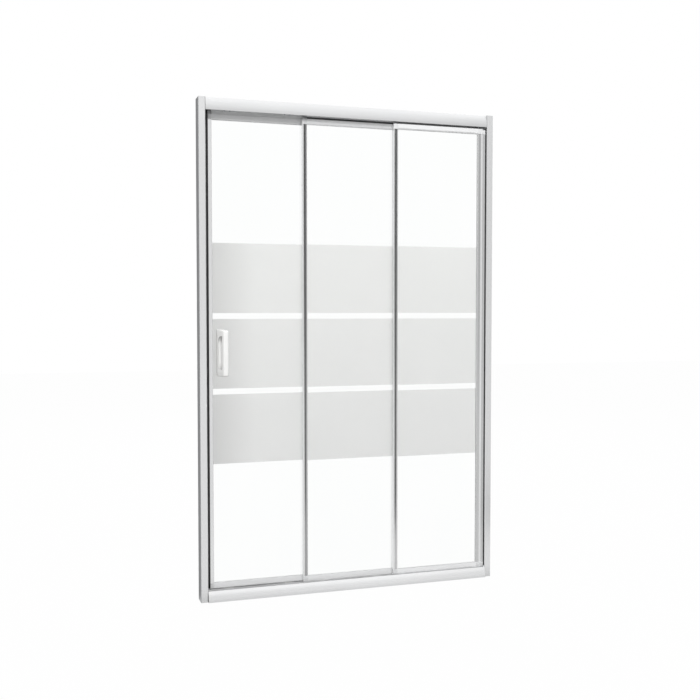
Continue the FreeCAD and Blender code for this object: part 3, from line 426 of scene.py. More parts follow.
HALF_LEAF, FRONT_LIP, BACK_LIP, SLOT_HALF, SLOT_DEPTH = 0.0065, 0.0034, 0.00425, 0.00305, 0.008
COVE_SINK, BACK_LAND, BAR_WALL, CHAMBER_STEP = 0.0009, 0.009, 0.0015, 0.0033
FIN_WALL, FIN_REACH, TONGUE, TONGUE_HALF, FLUSH = 0.0016, 0.0032, 0.013, 0.004, 0.0001


def coved_stile(name, edge, inwards, width, land, outer, back, cove_shade):
    """A stile counted from its outer edge: a land, a cove, the glazing slot, its back and its outer side."""
    low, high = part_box(name)
    middle = low.y + HALF_LEAF
    floor = width - SLOT_DEPTH
    front = coved((land, -HALF_LEAF), (width, -FRONT_LIP), COVE_SINK)
    slot = [(width, -SLOT_HALF), (floor, -SLOT_HALF), (floor, SLOT_HALF), (width, SLOT_HALF)]
    inner = HALF_LEAF - BAR_WALL
    chamber = [(BAR_WALL, -inner), (land, -inner), (floor - BAR_WALL, -CHAMBER_STEP),
               (floor - BAR_WALL, inner), (BAR_WALL, inner)]
    section, hole = [[(edge + inwards * x, middle + y) for x, y in outline]
                     for outline in (front + slot + back + outer, chamber)]
    bar = strip(f"{name}_coved", section, low.z, high.z, Z_AXIS, hole)
    # Painted shade: cove and tongue faces are marked hollow, which darkens their colour by the given share.
    shade_marks = bar.data.attributes.new("hollow", "FLOAT", "FACE")
    for face in bar.data.polygons:
        depth, place = face.center.y - middle, (face.center.x - edge) * inwards
        upright = abs(face.normal.z) < 0.5
        cove = upright and land < place < width and -HALF_LEAF < depth < -SLOT_HALF
        tongue = place < 0 and abs(depth + TONGUE_HALF) < FLUSH
        shade_marks.data[face.index].value = cove_shade if cove or tongue else 0.0
    bar.data.materials.append(satin_upright)
    smooth(bar)
    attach(bar, leaves[name.split("_")[0]])
    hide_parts(name)


STILE_WIDTH, STILE_LAND, WALL_STILE = 0.019, 0.007, 0.021
fin = [(STILE_WIDTH, HALF_LEAF + FIN_REACH), (STILE_WIDTH - FIN_WALL, HALF_LEAF + FIN_REACH),
       *coved((STILE_WIDTH - FIN_WALL, BACK_LIP), (BACK_LAND, HALF_LEAF), COVE_SINK)]
plain_side = [(0.0, HALF_LEAF), (0.0, -HALF_LEAF)]
# Shares of painted shade in the coves, one for each stile.
for stile, cove_shade in (("middle_left_stile", 0.9), ("fixed_left_stile", 0.45)):
    coved_stile(stile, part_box(stile)[0].x, 1, STILE_WIDTH, STILE_LAND, plain_side, fin, cove_shade)
rim = [(0.0, HALF_LEAF), (0.0, TONGUE_HALF), (-TONGUE, TONGUE_HALF), (-TONGUE, -TONGUE_HALF),
       (0.0, -TONGUE_HALF), (0.0, -HALF_LEAF)]
wall_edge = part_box("fixed_right_stile")[0].x + WALL_STILE
coved_stile("fixed_right_stile", wall_edge, -1, WALL_STILE, BACK_LAND, rim,
            coved((WALL_STILE, BACK_LIP), (BACK_LAND, HALF_LEAF), COVE_SINK), cove_shade=0.5)

# Glass: clear toughened panes, 4 mm thick, with a faint green in their edges and the thin film that water
# leaves. Each is set in its seal before the leaf's frame is closed round it.
clear_glass, glass_tree, glass_shader = new_finish("clear_glass", IOR=1.45, Transmission_Weight=1.0)
film = stretched_noise(glass_tree, 6.0, Z_AXIS, slow=1.2, detail=4.0)
glass_tree.links.new(shades(glass_tree, film, (0.985, 0.995, 0.99), (0.995, 1.0, 0.998)),
                     glass_shader.inputs["Base Color"])
glass_tree.links.new(ranged(glass_tree, film, 0.0, 0.012), glass_shader.inputs["Roughness"])
for leaf in leaves:
    dress(clear_glass, f"{leaf}_glass")

# Frosted bands: three etched bands on the shower side of each pane, as a thin matt skin in the etched
# hollows, with the fine grain that acid leaves. Their colour holds painted shade: darker low down and
# towards the closing edge.
frosted, frost_tree, frost_shader = new_finish("frosted_band", IOR=1.1, Transmission_Weight=0.85)
grain = stretched_noise(frost_tree, 3200.0, detail=2.0)
cloud = stretched_noise(frost_tree, 14.0, detail=4.0)
place = put(frost_tree, "ShaderNodeSeparateXYZ", {
    "Vector": put(frost_tree, "ShaderNodeTexCoord").outputs["Object"]}).outputs
# Painted shade: the bands darken low down and towards the closing edge, besides a random cloud of tone.
even = ranged(frost_tree, place["Z"], 0.0, 1.0, start=0.5, end=1.4)
edge_shade = ranged(frost_tree, place["X"], 0.8, 1.0, start=-0.56, end=-0.38)
HEIGHT_SHADE_SHARE, CLOUD_SHARE = 0.8, 0.2
cloud_and_shade = math_on(frost_tree, "ADD", math_on(frost_tree, "MULTIPLY", even, HEIGHT_SHADE_SHARE),
                 math_on(frost_tree, "MULTIPLY", cloud, CLOUD_SHARE))
frost_tone = shades(frost_tree, cloud_and_shade, (0.855, 0.855, 0.85), (0.955, 0.955, 0.945), low=0.1, high=0.9)
frost_tree.links.new(mixed(frost_tree, 1.0, frost_tone, edge_shade, "MULTIPLY"), frost_shader.inputs["Base Color"])
frost_tree.links.new(ranged(frost_tree, grain, 0.6, 0.85), frost_shader.inputs["Roughness"])
relief = put(frost_tree, "ShaderNodeBump", {"Height": grain, "Strength": 0.15, "Distance": 0.00004})
frost_tree.links.new(relief.outputs["Normal"], frost_shader.inputs["Normal"])
BAND_RISE, BAND_HEIGHT, BAND_STEP, BAND_COUNT = 0.516, 0.265, 0.287, 3
BAND_DEPTH, BAND_ROOM, BAND_INSET = 0.0001, 0.00003, 0.008
for leaf, body in leaves.items():
    low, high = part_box(f"{leaf}_glass")
    corners, faces = [], []
    for count in range(BAND_COUNT):
        foot = BAND_RISE + count * BAND_STEP
        base = len(corners)
        for y in (high.y - BAND_DEPTH + BAND_ROOM, high.y - BAND_ROOM):
            corners += [(x, y, z) for x, z in (
                (low.x + BAND_INSET, foot), (high.x - BAND_INSET, foot),
                (high.x - BAND_INSET, foot + BAND_HEIGHT), (low.x + BAND_INSET, foot + BAND_HEIGHT))]
        quads = [(0, 1, 2, 3), (7, 6, 5, 4), (0, 4, 5, 1), (1, 5, 6, 2), (2, 6, 7, 3), (3, 7, 4, 0)]
        faces += [tuple(base + corner for corner in quad) for quad in quads]
    mesh = bpy.data.meshes.new(f"{leaf}_frosted_bands")
    mesh.from_pydata(corners, [], faces)
    mesh.materials.append(frosted)
    bands = bpy.data.objects.new(f"{leaf}_frosted_bands", mesh)
    bpy.context.scene.collection.objects.link(bands)
    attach(bands, body)

# Glazing seals: soft vinyl channels round each pane's rim, mitred at the corners, with a rounded bead on both
# sides that laps over the edge of the frame.
vinyl = moulded("glazing_vinyl", (0.84, 0.85, 0.85), (0.9, 0.905, 0.905), rough=0.38)
SEAL_HALF, SEAL_BEAD, GLASS_HALF, SEAL_LIP, RIM, SEAL_WEB = 0.003, 0.0037, 0.002, 0.0015, 0.008, 0.001
SEAL_END = RIM + SEAL_WEB
side = [(0.0, GLASS_HALF), (0.0001, 0.0028), (0.0005, SEAL_BEAD - 0.0001), (0.0010, SEAL_BEAD),
        (SEAL_LIP - 0.0001, SEAL_BEAD - 0.0003), (SEAL_LIP, SEAL_HALF), (SEAL_END, SEAL_HALF)]
channel = ([(out, -half) for out, half in side] + [(out, half) for out, half in reversed(side)]
           + [(RIM, GLASS_HALF), (RIM, -GLASS_HALF)])
for leaf, body in leaves.items():
    low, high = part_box(f"{leaf}_glazing_seal")
    middle = (low.y + high.y) / 2
    work = bmesh.new()
    rings = []
    for x, z, toward_x, toward_z in ((low.x, low.z, 1, 1), (high.x, low.z, -1, 1), (high.x, high.z, -1, -1),
                                     (low.x, high.z, 1, -1)):
        rings.append([work.verts.new((x + toward_x * (SEAL_END - out), middle + across,
                                      z + toward_z * (SEAL_END - out))) for out, across in channel])
    for index, ring in enumerate(rings):
        before = rings[index - 1]
        for point in range(len(channel)):
            work.faces.new((before[point - 1], before[point], ring[point], ring[point - 1]))
    bmesh.ops.recalc_face_normals(work, faces=work.faces)
    mesh = bpy.data.meshes.new(f"{leaf}_glazing_bead")
    work.to_mesh(mesh)
    work.free()
    bead = bpy.data.objects.new(f"{leaf}_glazing_bead", mesh)
    bpy.context.scene.collection.objects.link(bead)
    bead.data.materials.append(vinyl)
    smooth(bead, angle=50)
    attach(bead, body)
    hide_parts(f"{leaf}_glazing_seal")

# Hangers and brackets: zinc plated steel plates on the necks of the top rails. Brackets hook the fixed leaf
# onto its ledge, and hangers carry turned axles with dished nylon rollers.
dress(zinc, "fixed_brackets", "middle_hangers", "closing_hangers", "middle_axles", "closing_axles")
SCREW_PITCH, HALF_PLATE, FIRST_SEED = 0.02, 0.018, 7
for leaf, group in (("fixed", "bracket"), ("middle", "hanger"), ("closing", "hanger")):
    low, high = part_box(f"{leaf}_{group}_screws")
    plate_low, plate_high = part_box(f"{leaf}_{group}s")
    stations = (plate_low.x + HALF_PLATE, plate_high.x - HALF_PLATE)
    level = (low.z + high.z) / 2
    screws = grown(
        f"{leaf}_{group}_screws_cross", pan_heads,
        [(x + side * SCREW_PITCH / 2, low.y + HEAD_RISE, level) for x in stations for side in (-1, 1)],
        length=high.y - low.y - HEAD_RISE, heads_towards=(0.0, -1.0, 0.0), seed=FIRST_SEED + len(leaf),
        finish=zinc, **SHORT_SCREW)
    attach(screws, leaves[leaf])
    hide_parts(f"{leaf}_{group}_screws")
nylon = moulded("nylon", (0.82, 0.82, 0.80), (0.88, 0.88, 0.86), rough=0.42, grain=1800.0)
dress(nylon, "middle_roller_a", "middle_roller_b", "closing_roller_a", "closing_roller_b")

# Feet and guide shoes: moulded nylon blocks under the bottom rails. They straddle the ribs of the sill and
# keep each leaf in its track.
dress(nylon, "fixed_feet", "middle_guide_shoes", "closing_guide_shoes")


# Pile strips and top brushes: dark nylon bristles on a woven tape. The strips close the gap between two
# leaves at their interlock, and the brushes close the gap between a top rail and the header.
def bristle_tree():
    """A tape along X with an even field of tufts along Z that lean, turned and placed as a whole."""
    tree, given, out = new_tree(
        "bristle_strip", length=("Float", 1.7), width=("Float", 0.005), height=("Float", 0.0036),
        tape=("Float", 0.0008), across=("Int", 4), along=("Int", 1200), tuft=("Float", 0.0005),
        lean=("Float", 0.12), turn=("Rotation", None), place=("Vector", (0.0, 0.0, 0.0)), seed=("Int", 5),
        finish=("Material", None))
    field_share, edge_tufts, tip_share = 0.998, 2.6, 0.45
    edges = math_on(tree, "MULTIPLY", given["tuft"], edge_tufts)
    field = put(tree, "GeometryNodeMeshGrid", {
        "Size X": math_on(tree, "MULTIPLY", given["length"], field_share),
        "Size Y": math_on(tree, "SUBTRACT", given["width"], edges),
        "Vertices X": given["along"], "Vertices Y": given["across"]}).outputs["Mesh"]
    points = put(tree, "GeometryNodeMeshToPoints", {"Mesh": field}).outputs["Points"]
    rise = math_on(tree, "SUBTRACT", given["height"], given["tape"])
    hair = put(tree, "GeometryNodeMeshCone", {
        "Vertices": 5, "Side Segments": 2, "Radius Top": math_on(tree, "MULTIPLY", given["tuft"], tip_share),
        "Radius Bottom": given["tuft"], "Depth": rise}).outputs["Mesh"]
    tilt = put(tree, "ShaderNodeCombineXYZ", {
        "X": given["lean"], "Y": given["lean"], "Z": math.pi}).outputs["Vector"]
    lowest = put(tree, "ShaderNodeVectorMath", {0: tilt, 1: (-1.0, -1.0, -1.0)}, operation="MULTIPLY")
    leaning = put(tree, "FunctionNodeRandomValue", {"Seed": given["seed"]}, data_type="FLOAT_VECTOR")
    tree.links.new(lowest.outputs["Vector"], leaning.inputs["Min"])
    tree.links.new(tilt, leaning.inputs["Max"])
    uneven = put(tree, "FunctionNodeRandomValue", {"Seed": given["seed"]}, data_type="FLOAT_VECTOR")
    uneven.inputs["Min"].default_value = (0.85, 0.85, 0.9)
    uneven.inputs["Max"].default_value = (1.1, 1.1, 0.99)
    planted = put(tree, "GeometryNodeInstanceOnPoints", {
        "Points": points, "Instance": hair, "Rotation": leaning.outputs[0], "Scale": uneven.outputs[0]})
    lifted = put(tree, "GeometryNodeTransform", {
        "Geometry": planted.outputs["Instances"],
        "Translation": put(tree, "ShaderNodeCombineXYZ", {"Z": given["tape"]}).outputs["Vector"]})
    size = put(tree, "ShaderNodeCombineXYZ", {"X": given["length"], "Y": given["width"], "Z": given["tape"]})
    tape = put(tree, "GeometryNodeMeshCube", {"Size": size.outputs["Vector"]}).outputs["Mesh"]
    seat = put(tree, "ShaderNodeCombineXYZ", {"Z": math_on(tree, "MULTIPLY", given["tape"], 0.5)})
    tape = put(tree, "GeometryNodeTransform", {"Geometry": tape, "Translation": seat.outputs["Vector"]})
    whole = joined(tree, lifted.outputs["Geometry"], tape.outputs["Geometry"])
    laid = put(tree, "GeometryNodeTransform", {
        "Geometry": whole, "Translation": given["place"], "Rotation": given["turn"]})
    finished(tree, laid.outputs["Geometry"], given["finish"], out)
    return tree


bristles = bristle_tree()
black_pile = moulded("black_pile", (0.12, 0.12, 0.124), (0.18, 0.18, 0.184), rough=0.75, grain=900.0)
grey_pile = moulded("grey_pile", (0.30, 0.305, 0.31), (0.42, 0.425, 0.43), rough=0.75, grain=900.0)
for leaf in ("fixed", "middle"):
    low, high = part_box(f"{leaf}_pile_strip")
    pile = grown(
        f"{leaf}_pile_bristles", bristles, [(0, 0, 0)], length=high.z - low.z, width=high.x - low.x,
        height=high.y - low.y, tape=0.0009, across=5, along=1300, tuft=0.00052, lean=0.1,
        turn=(0.0, -math.pi / 2, -math.pi / 2), place=((low.x + high.x) / 2, low.y, (low.z + high.z) / 2),
        seed=11, finish=grey_pile)
    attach(pile, leaves[leaf])
    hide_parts(f"{leaf}_pile_strip")
    low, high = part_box(f"{leaf}_top_brush")
    brush = grown(
        f"{leaf}_brush_bristles", bristles, [(0, 0, 0)], length=high.x - low.x, width=high.y - low.y,
        height=high.z - low.z, tape=0.0012, across=3, along=520, tuft=0.00032, lean=0.05,
        turn=(0.0, 0.0, 0.0), place=((low.x + high.x) / 2, (low.y + high.y) / 2, low.z), seed=12,
        finish=black_pile)
    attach(brush, leaves[leaf])
    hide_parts(f"{leaf}_top_brush")

# Side seal: a black rubber gasket, drawn in one length. It grips the fixed leaf's tongue and presses two fins
# against the jamb.
low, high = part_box("fixed_side_seal")
GRIP, FIN, FIN_SLOPE, FIN_DROP = 0.001, 0.0012, 0.0012, 0.0016
FIN_ROOT, FIN_BACK, GASKET_ROUND = 0.0016, 0.0022, 0.0005
middle = (low.y + high.y) / 2
half = (high.y - low.y) / 2
outline = [(low.x, TONGUE_HALF), (low.x, half), (high.x - FIN_SLOPE, half), (high.x, half - FIN_DROP),
           (high.x, half - FIN_DROP - FIN), (high.x - FIN_ROOT, half - FIN_BACK - FIN)]
outline = ([(x, middle - y) for x, y in outline] + [(x, middle + y) for x, y in reversed(outline)]
           + [(low.x + GRIP, middle + TONGUE_HALF), (low.x + GRIP, middle - TONGUE_HALF)])
gasket = strip("fixed_side_gasket", softened(outline, GASKET_ROUND), low.z, high.z, Z_AXIS)
gasket.data.materials.append(black_rubber)
smooth(gasket)
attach(gasket, "frame")
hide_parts("fixed_side_seal")

# Closing edge: a black hollow seal clipped onto the closing stile, with a magnet strip in its nose that draws
# the leaf to the jamb.
low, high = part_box("closing_edge_seal")
magnet_low, magnet_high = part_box("closing_magnet")
NOSE, NOSE_STEP, CLIP, NECK, NECK_STEP = 0.002, 0.0004, 0.0085, 0.0075, 0.0006
BULB_ROUND, WALL_ROOM = 0.0012, 0.0001
outline = [(high.x, low.y), (high.x, high.y), (low.x + CLIP, high.y), (low.x + NECK, high.y - NECK_STEP),
           (low.x + NOSE, high.y - NOSE_STEP), (low.x, high.y - NOSE - NOSE_STEP),
           (low.x, low.y + NOSE + NOSE_STEP), (low.x + NOSE, low.y + NOSE_STEP),
           (low.x + NECK, low.y + NECK_STEP), (low.x + CLIP, low.y)]
left, right = magnet_low.x - WALL_ROOM, magnet_high.x + WALL_ROOM
front, back = magnet_low.y - WALL_ROOM, magnet_high.y + WALL_ROOM
chamber = [(left, front), (left, back), (right, back), (right, front)]
edge_seal = strip("closing_edge_bulb", softened(outline, BULB_ROUND), low.z, high.z, Z_AXIS, hole=chamber)
edge_seal.data.materials.append(black_rubber)
smooth(edge_seal)
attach(edge_seal, "closing_leaf")
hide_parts("closing_edge_seal")
dress(moulded("magnet_rubber", (0.05, 0.045, 0.042), (0.08, 0.072, 0.068), rough=0.6), "closing_magnet")


# Handle: a glossy white moulding outside, whose grip leans away from the stile over a hollowed finger
# opening, and a low pull with a finger scoop inside. Two screws in nylon bushes clamp both through the glass.
def shrunk(outline, amount):
    """The closed outline, drawn inwards by an amount."""
    points = [Vector(point) for point in outline]
    area = sum(points[index - 1].cross(points[index]) for index in range(len(points)))
    side = math.copysign(amount, area)
    moved = []
    for index, point in enumerate(points):
        run = (points[(index + 1) % len(points)] - points[index - 1]).normalized()
        moved.append(point + side * Vector((-run.y, run.x)))
    return moved


def arc(centre, reach, start, end, steps=10):
    """Points on an ellipse, from one angle to another in degrees."""
    turns = [math.radians(start + (end - start) * step / steps) for step in range(steps + 1)]
    return [(centre[0] + reach[0] * math.cos(turn), centre[1] + reach[1] * math.sin(turn)) for turn in turns]


white_plastic = moulded("white_plastic", (0.93, 0.93, 0.915), (0.955, 0.955, 0.945), rough=0.22, grain=1500.0)
white_tree = white_plastic.node_tree
paint = white_tree.nodes["Principled BSDF"].inputs["Base Color"]
unshaded_tone = paint.links[0].from_socket
# Painted shade: ambient occlusion darkens the white plastic's colour in its recesses, most at the top of the
# finger opening.
recess = put(white_tree, "ShaderNodeAmbientOcclusion", {"Distance": 0.03}, samples=8, only_local=True)
recess_shade = ranged(white_tree, recess.outputs["AO"], 0.2, 1.0, start=0.15, end=0.9)
white_tree.links.new(mixed(white_tree, 1.0, unshaded_tone, recess_shade, "MULTIPLY"), paint)
low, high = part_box("door_handle")
HANDLE_WIDTH, LEAN, TAPER, FLARE, BASE = 0.022, 0.015, 0.0038, 0.006, 0.0065
GRIP_WALL, TOP_ARM, BOTTOM_ARM = 0.010, 0.0203, 0.0235
HANDLE_EDGE, OPENING_EDGE, FOOT_EDGE = 0.0032, 0.0014, 0.006
TOP_COVE, BOTTOM_COVE, BROW, ROUND_STEPS = (0.016, 0.030), (0.004, 0.006), (0.012, 0.008), 5
FOOT_ROUND, CHIN_ROUND, FINGER_ROUND, SADDLE, CROWN_DROP = 0.004, 0.006, 0.004, 0.0018, 0.0065
grip_top = high.z - FLARE
side_view = (arc((high.y - FOOT_ROUND, low.z + FOOT_ROUND), (FOOT_ROUND, FOOT_ROUND), 0, -90)
             + arc((low.y + CHIN_ROUND, low.z + CHIN_ROUND), (CHIN_ROUND, CHIN_ROUND), 270, 180)
             + arc((low.y + BROW[0], grip_top - BROW[1]), BROW, 180, 110)
             + [((low.y + high.y) / 2, grip_top + SADDLE)]
             + arc((high.y - FOOT_ROUND, high.z - CROWN_DROP), (FOOT_ROUND, FOOT_ROUND), 80, 0))
opening_low, opening_high = low.z + BOTTOM_ARM, grip_top - TOP_ARM
opening_front, opening_back = low.y + GRIP_WALL, high.y - BASE
finger_x, finger_reach = opening_front + FINGER_ROUND, (FINGER_ROUND, FINGER_ROUND)
opening = (arc((finger_x, opening_low + FINGER_ROUND), finger_reach, 270, 180, 6)
           + arc((finger_x, opening_high - FINGER_ROUND), finger_reach, 180, 90, 6)
           + arc((opening_back - TOP_COVE[0], opening_high - TOP_COVE[1]), TOP_COVE, 90, 0)
           + arc((opening_back - BOTTOM_COVE[0], opening_low + BOTTOM_COVE[1]), BOTTOM_COVE, 0, -90))
slices = []
for side in (-1, 1):
    for step in range(ROUND_STEPS + 1)[::side]:
        turn = math.pi / 2 * step / ROUND_STEPS
        across = side * (HANDLE_WIDTH / 2 - HANDLE_EDGE * (1 - math.sin(turn)))
        rings = []
        for outline, edge in ((side_view, HANDLE_EDGE), (opening, -OPENING_EDGE)):
            ring = []
            for point, inner in zip(outline, shrunk(outline, edge * (1 - math.cos(turn)))):
                flush = min(1.0, (high.y - point[0]) / FOOT_EDGE) if edge > 0 else 1.0
                y, z = Vector(point).lerp(inner, flush)
                out = (high.y - y) / (high.y - low.y)
                narrowed = 1 - TAPER / HANDLE_WIDTH * out
                ring.append((low.x + HANDLE_WIDTH / 2 + (LEAN + TAPER / 2) * out + across * narrowed, y, z))
            rings.append(ring)
        slices.append(rings)
handle = skinned("door_handle_moulding", slices)
handle.data.materials.append(white_plastic)
smooth(handle)
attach(handle, "closing_leaf")
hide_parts("door_handle")

low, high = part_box("inner_pull")
PULL_WIDTH, PULL_ROUND, PULL_EDGE = 0.0215, 0.005, 0.0018
PULL_FOOT, FOOT_RISE, FOOT_STEP = 0.0022, 0.0012, 0.0004
SCOOP_WIDTH, SCOOP_LENGTH, SCOOP_DEPTH, SCOOP_SHARE, SCOOP_STEPS = 0.0136, 0.0996, 0.0045, 0.8, 6
SCREW_SPAN, HEAD_ROOM, HEAD_RECESS, BORE_EDGE, SCOOP_FLAT = 0.157, 0.0074, 0.0028, 0.0004, 0.0001


def rounded_plate(middle_x, middle_z, width, length, corner):
    """A rounded rectangle in X and Z."""
    x, z = width / 2 - corner, length / 2 - corner
    outline = []
    for side_x, side_z, turn in ((1, 1, 0), (-1, 1, 90), (-1, -1, 180), (1, -1, 270)):
        centre = (middle_x + side_x * x, middle_z + side_z * z)
        outline += arc(centre, (corner, corner), turn, turn + 90, steps=8)
    return outline


def at_depth(y, outline):
    return [(x, y, z) for x, z in outline]


middle_x, middle_z = (low.x + high.x) / 2, (low.z + high.z) / 2
plate = rounded_plate(middle_x, middle_z, PULL_WIDTH, high.z - low.z, PULL_ROUND)
slices = [[at_depth(low.y, shrunk(plate, PULL_FOOT))],
          [at_depth(low.y + FOOT_RISE, shrunk(plate, PULL_FOOT - FOOT_STEP))]]
slices += [[at_depth(high.y - PULL_EDGE * (1 - math.sin(turn)),
                     shrunk(plate, PULL_EDGE * (1 - math.cos(turn))))]
           for turn in (math.pi / 2 * step / ROUND_STEPS for step in range(ROUND_STEPS + 1))]
scoop = rounded_plate(middle_x, middle_z, SCOOP_WIDTH, SCOOP_LENGTH, SCOOP_WIDTH / 2 - SCOOP_FLAT)
bowls = [[at_depth(high.y - SCOOP_DEPTH * math.sin(turn),
                   shrunk(scoop, SCOOP_WIDTH / 2 * SCOOP_SHARE * (1 - math.cos(turn))))
          for turn in (math.pi / 2 * step / SCOOP_STEPS for step in range(SCOOP_STEPS + 1))]]
for side in (-1, 1):
    bore = arc((middle_x, middle_z + side * SCREW_SPAN / 2), (HEAD_ROOM / 2, HEAD_ROOM / 2), 0, 345, 23)
    bowls.append([at_depth(high.y, shrunk(bore, -BORE_EDGE)), at_depth(high.y - BORE_EDGE, bore),
                  at_depth(high.y - HEAD_RECESS, bore)])
pull = skinned("inner_pull_moulding", slices, bowls)
pull.data.materials.append(white_plastic)
smooth(pull)
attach(pull, "closing_leaf")
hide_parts("inner_pull")

dress(nylon, "handle_bushes")
low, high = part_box("handle_screws")
CLAMP_RISE = 0.0024
handle_screws = grown(
    "handle_screws_cross", pan_heads,
    [((low.x + high.x) / 2, high.y - CLAMP_RISE, z) for z in (low.z + HEAD / 2, high.z - HEAD / 2)],
    head=HEAD, rise=CLAMP_RISE, shank=0.004, length=high.y - low.y - CLAMP_RISE, slot_width=0.001,
    slot_span=0.0044, slot_depth=0.0014, heads_towards=(0.0, 1.0, 0.0), seed=21, finish=zinc)
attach(handle_screws, "closing_leaf")
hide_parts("handle_screws")

# Studio: a pale floor and a white surround, a large softbox above the camera and a weaker one behind the
# door, two dark flags that show only as reflections, at the right and behind on the left, and the camera
# where the photograph was taken.
floor_mesh = bpy.data.meshes.new("floor")
REACH = 14.0
floor_mesh.from_pydata([(-REACH, -REACH, 0), (REACH, -REACH, 0), (REACH, REACH, 0), (-REACH, REACH, 0)], [],
                       [(0, 1, 2, 3)])
floor = bpy.data.objects.new("floor", floor_mesh)
bpy.context.scene.collection.objects.link(floor)
floor_paint, floor_tree, floor_shader = new_finish("floor_paint", Base_Color=(0.55, 0.55, 0.55, 1),
                                                   Roughness=0.9)


def between(tree, value, start, end, low, high):
    """A smooth step from one level to another."""
    step = put(tree, "ShaderNodeMapRange", {"Value": value, "From Min": start, "From Max": end,
                                            "To Min": low, "To Max": high}, interpolation_type="SMOOTHSTEP")
    return step.outputs["Result"]


FLAG, BACK_FLAG, LEFT, BACK, FLOOR_FRONT, FLOOR_NEAR, FLOOR_GLOW = 0.07, 0.04, 0.55, 0.7, 0.86, 0.68, 0.985
BACK_FLAG_X, LEAST_Y, LEAST_X = 0.6, 0.05, 0.1
path = put(floor_tree, "ShaderNodeLightPath").outputs
seen = math_on(floor_tree, "MAXIMUM", path["Is Camera Ray"], path["Is Transmission Ray"])
glossy = math_on(floor_tree, "MULTIPLY", path["Is Glossy Ray"], math_on(floor_tree, "SUBTRACT", 1.0, seen))
share = math_on(floor_tree, "MAXIMUM", math_on(floor_tree, "MULTIPLY", seen, FLOOR_GLOW), glossy)
place = put(floor_tree, "ShaderNodeTexCoord").outputs["Object"]
axes = put(floor_tree, "ShaderNodeSeparateXYZ", {"Vector": place}).outputs
# Painted shade: in reflections the floor is darker near the door's foot.
near = between(floor_tree, axes["Y"], -0.22, -0.04, FLOOR_FRONT, FLOOR_NEAR)
slant = math_on(floor_tree, "DIVIDE", math_on(floor_tree, "ADD", axes["X"], BACK_FLAG_X),
                math_on(floor_tree, "MAXIMUM", axes["Y"], LEAST_Y))
rear = between(floor_tree, slant, -0.58, -0.4, BACK, BACK_FLAG)
rear = between(floor_tree, slant, 0.03, 0.2, rear, BACK)
mirrored = between(floor_tree, axes["Y"], 0.0, 0.1, near, rear)
slant = math_on(floor_tree, "DIVIDE", axes["Y"], math_on(floor_tree, "MAXIMUM", axes["X"], LEAST_X))
aside = between(floor_tree, slant, -1.3, -0.7, mirrored, FLAG)
aside = between(floor_tree, slant, 0.5, 0.8, aside, mirrored)
mirrored = between(floor_tree, axes["X"], 0.95, 1.2, mirrored, aside)
level = put(floor_tree, "ShaderNodeMix", {0: glossy, 2: 1.0, 3: mirrored}, data_type="FLOAT")
glow = put(floor_tree, "ShaderNodeEmission", {"Color": (1, 1, 1, 1), "Strength": level.outputs["Result"]})
blend = put(floor_tree, "ShaderNodeMixShader", {0: share, 1: floor_shader.outputs["BSDF"],
                                                2: glow.outputs["Emission"]})
floor_tree.links.new(blend.outputs["Shader"], floor_tree.nodes["Material Output"].inputs["Surface"])
floor_mesh.materials.append(floor_paint)

world = bpy.data.worlds.new("studio")
bpy.context.scene.world = world
world.use_nodes = True
sky = world.node_tree
sky.nodes.clear()
path = put(sky, "ShaderNodeLightPath").outputs
seen = math_on(sky, "MAXIMUM", path["Is Camera Ray"], path["Is Transmission Ray"])
direction = put(sky, "ShaderNodeTexCoord").outputs["Generated"]
axes = put(sky, "ShaderNodeSeparateXYZ", {"Vector": direction}).outputs
FRONT_LOW, FRONT_HIGH, BACK_HIGH, TOP, EVEN = 0.81, 1.15, 0.85, 1.25, 0.34
flat = put(sky, "ShaderNodeCombineXYZ", {"X": axes["X"], "Y": axes["Y"]}).outputs["Vector"]
bearing = put(sky, "ShaderNodeVectorMath", {0: flat}, operation="NORMALIZE").outputs["Vector"]
turned = put(sky, "ShaderNodeSeparateXYZ", {"Vector": bearing}).outputs
ahead = between(sky, axes["Z"], 0.1, 0.45, FRONT_LOW, FRONT_HIGH)
ahead = between(sky, turned["X"], -0.09, 0.09, LEFT, ahead)
behind = between(sky, axes["Z"], -0.05, 0.5, BACK, BACK_HIGH)
rear = between(sky, turned["X"], -0.55, -0.38, behind, BACK_FLAG)
rear = between(sky, turned["X"], 0.01, 0.18, rear, behind)
level = between(sky, turned["Y"], 0.0, 0.3, ahead, rear)
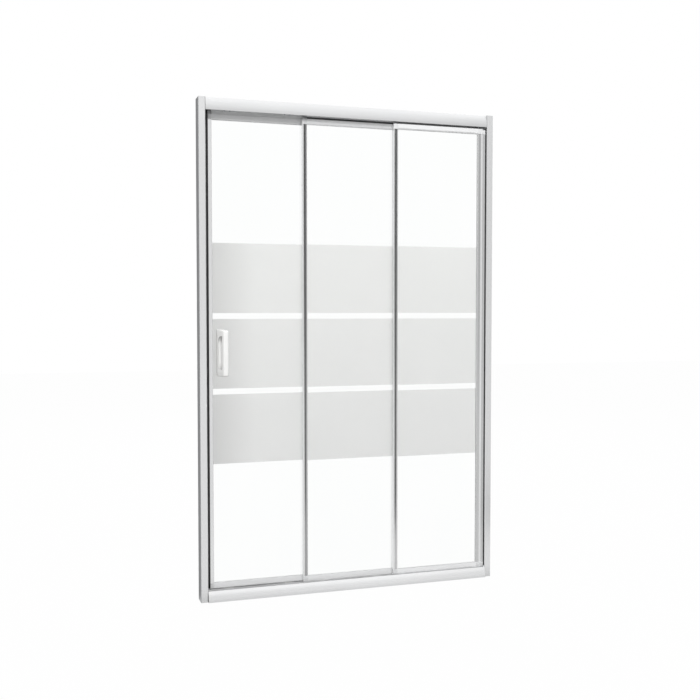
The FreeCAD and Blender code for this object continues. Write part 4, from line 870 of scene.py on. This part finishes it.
aside = between(sky, turned["Y"], -0.88, -0.74, level, FLAG)
aside = between(sky, turned["Y"], 0.45, 0.65, aside, level)
aside = between(sky, axes["Z"], 0.4, 0.75, aside, level)
level = between(sky, turned["X"], 0.0, 0.1, level, aside)
level = between(sky, axes["Z"], 0.6, 0.95, level, TOP)
mirrored = put(sky, "ShaderNodeBackground", {"Color": (1, 1, 1, 1), "Strength": level}).outputs["Background"]
even = put(sky, "ShaderNodeBackground", {"Color": (1, 1, 1, 1), "Strength": EVEN}).outputs["Background"]
room = put(sky, "ShaderNodeMixShader", {0: path["Is Glossy Ray"], 1: even, 2: mirrored})
white = put(sky, "ShaderNodeBackground", {"Color": (1, 1, 1, 1), "Strength": 1.0})
blend = put(sky, "ShaderNodeMixShader", {0: seen, 1: room.outputs["Shader"], 2: white.outputs["Background"]})
sky.links.new(blend.outputs["Shader"], put(sky, "ShaderNodeOutputWorld").inputs["Surface"])

SOFTBOX_SIZE, DOOR_MIDDLE = 3.6, Vector((0, 0, 0.95))
for name, place, power in (("key_softbox", (-1.8, -4.2, 6.2), 435), ("back_softbox", (1.6, 4.6, 4.2), 260)):
    lamp = bpy.data.lights.new(name, "AREA")
    lamp.shape = "RECTANGLE"
    lamp.size, lamp.size_y, lamp.energy = SOFTBOX_SIZE, SOFTBOX_SIZE, power
    softbox = bpy.data.objects.new(name, lamp)
    softbox.location = place
    softbox.rotation_euler = (DOOR_MIDDLE - softbox.location).to_track_quat("-Z", "Y").to_euler()
    softbox.visible_glossy = softbox.visible_camera = softbox.visible_transmission = False
    bpy.context.scene.collection.objects.link(softbox)

camera = bpy.data.cameras.new("camera")
camera.lens, camera.sensor_width = 50.0, 36.0
viewpoint = bpy.data.objects.new("camera", camera)
viewpoint.location = (-1.195, -3.638, 1.104)
viewpoint.rotation_euler = (math.radians(87.61), 0, math.radians(-18.16))
bpy.context.scene.collection.objects.link(viewpoint)
bpy.context.scene.camera = viewpoint
bpy.context.scene.view_settings.view_transform = "Standard"
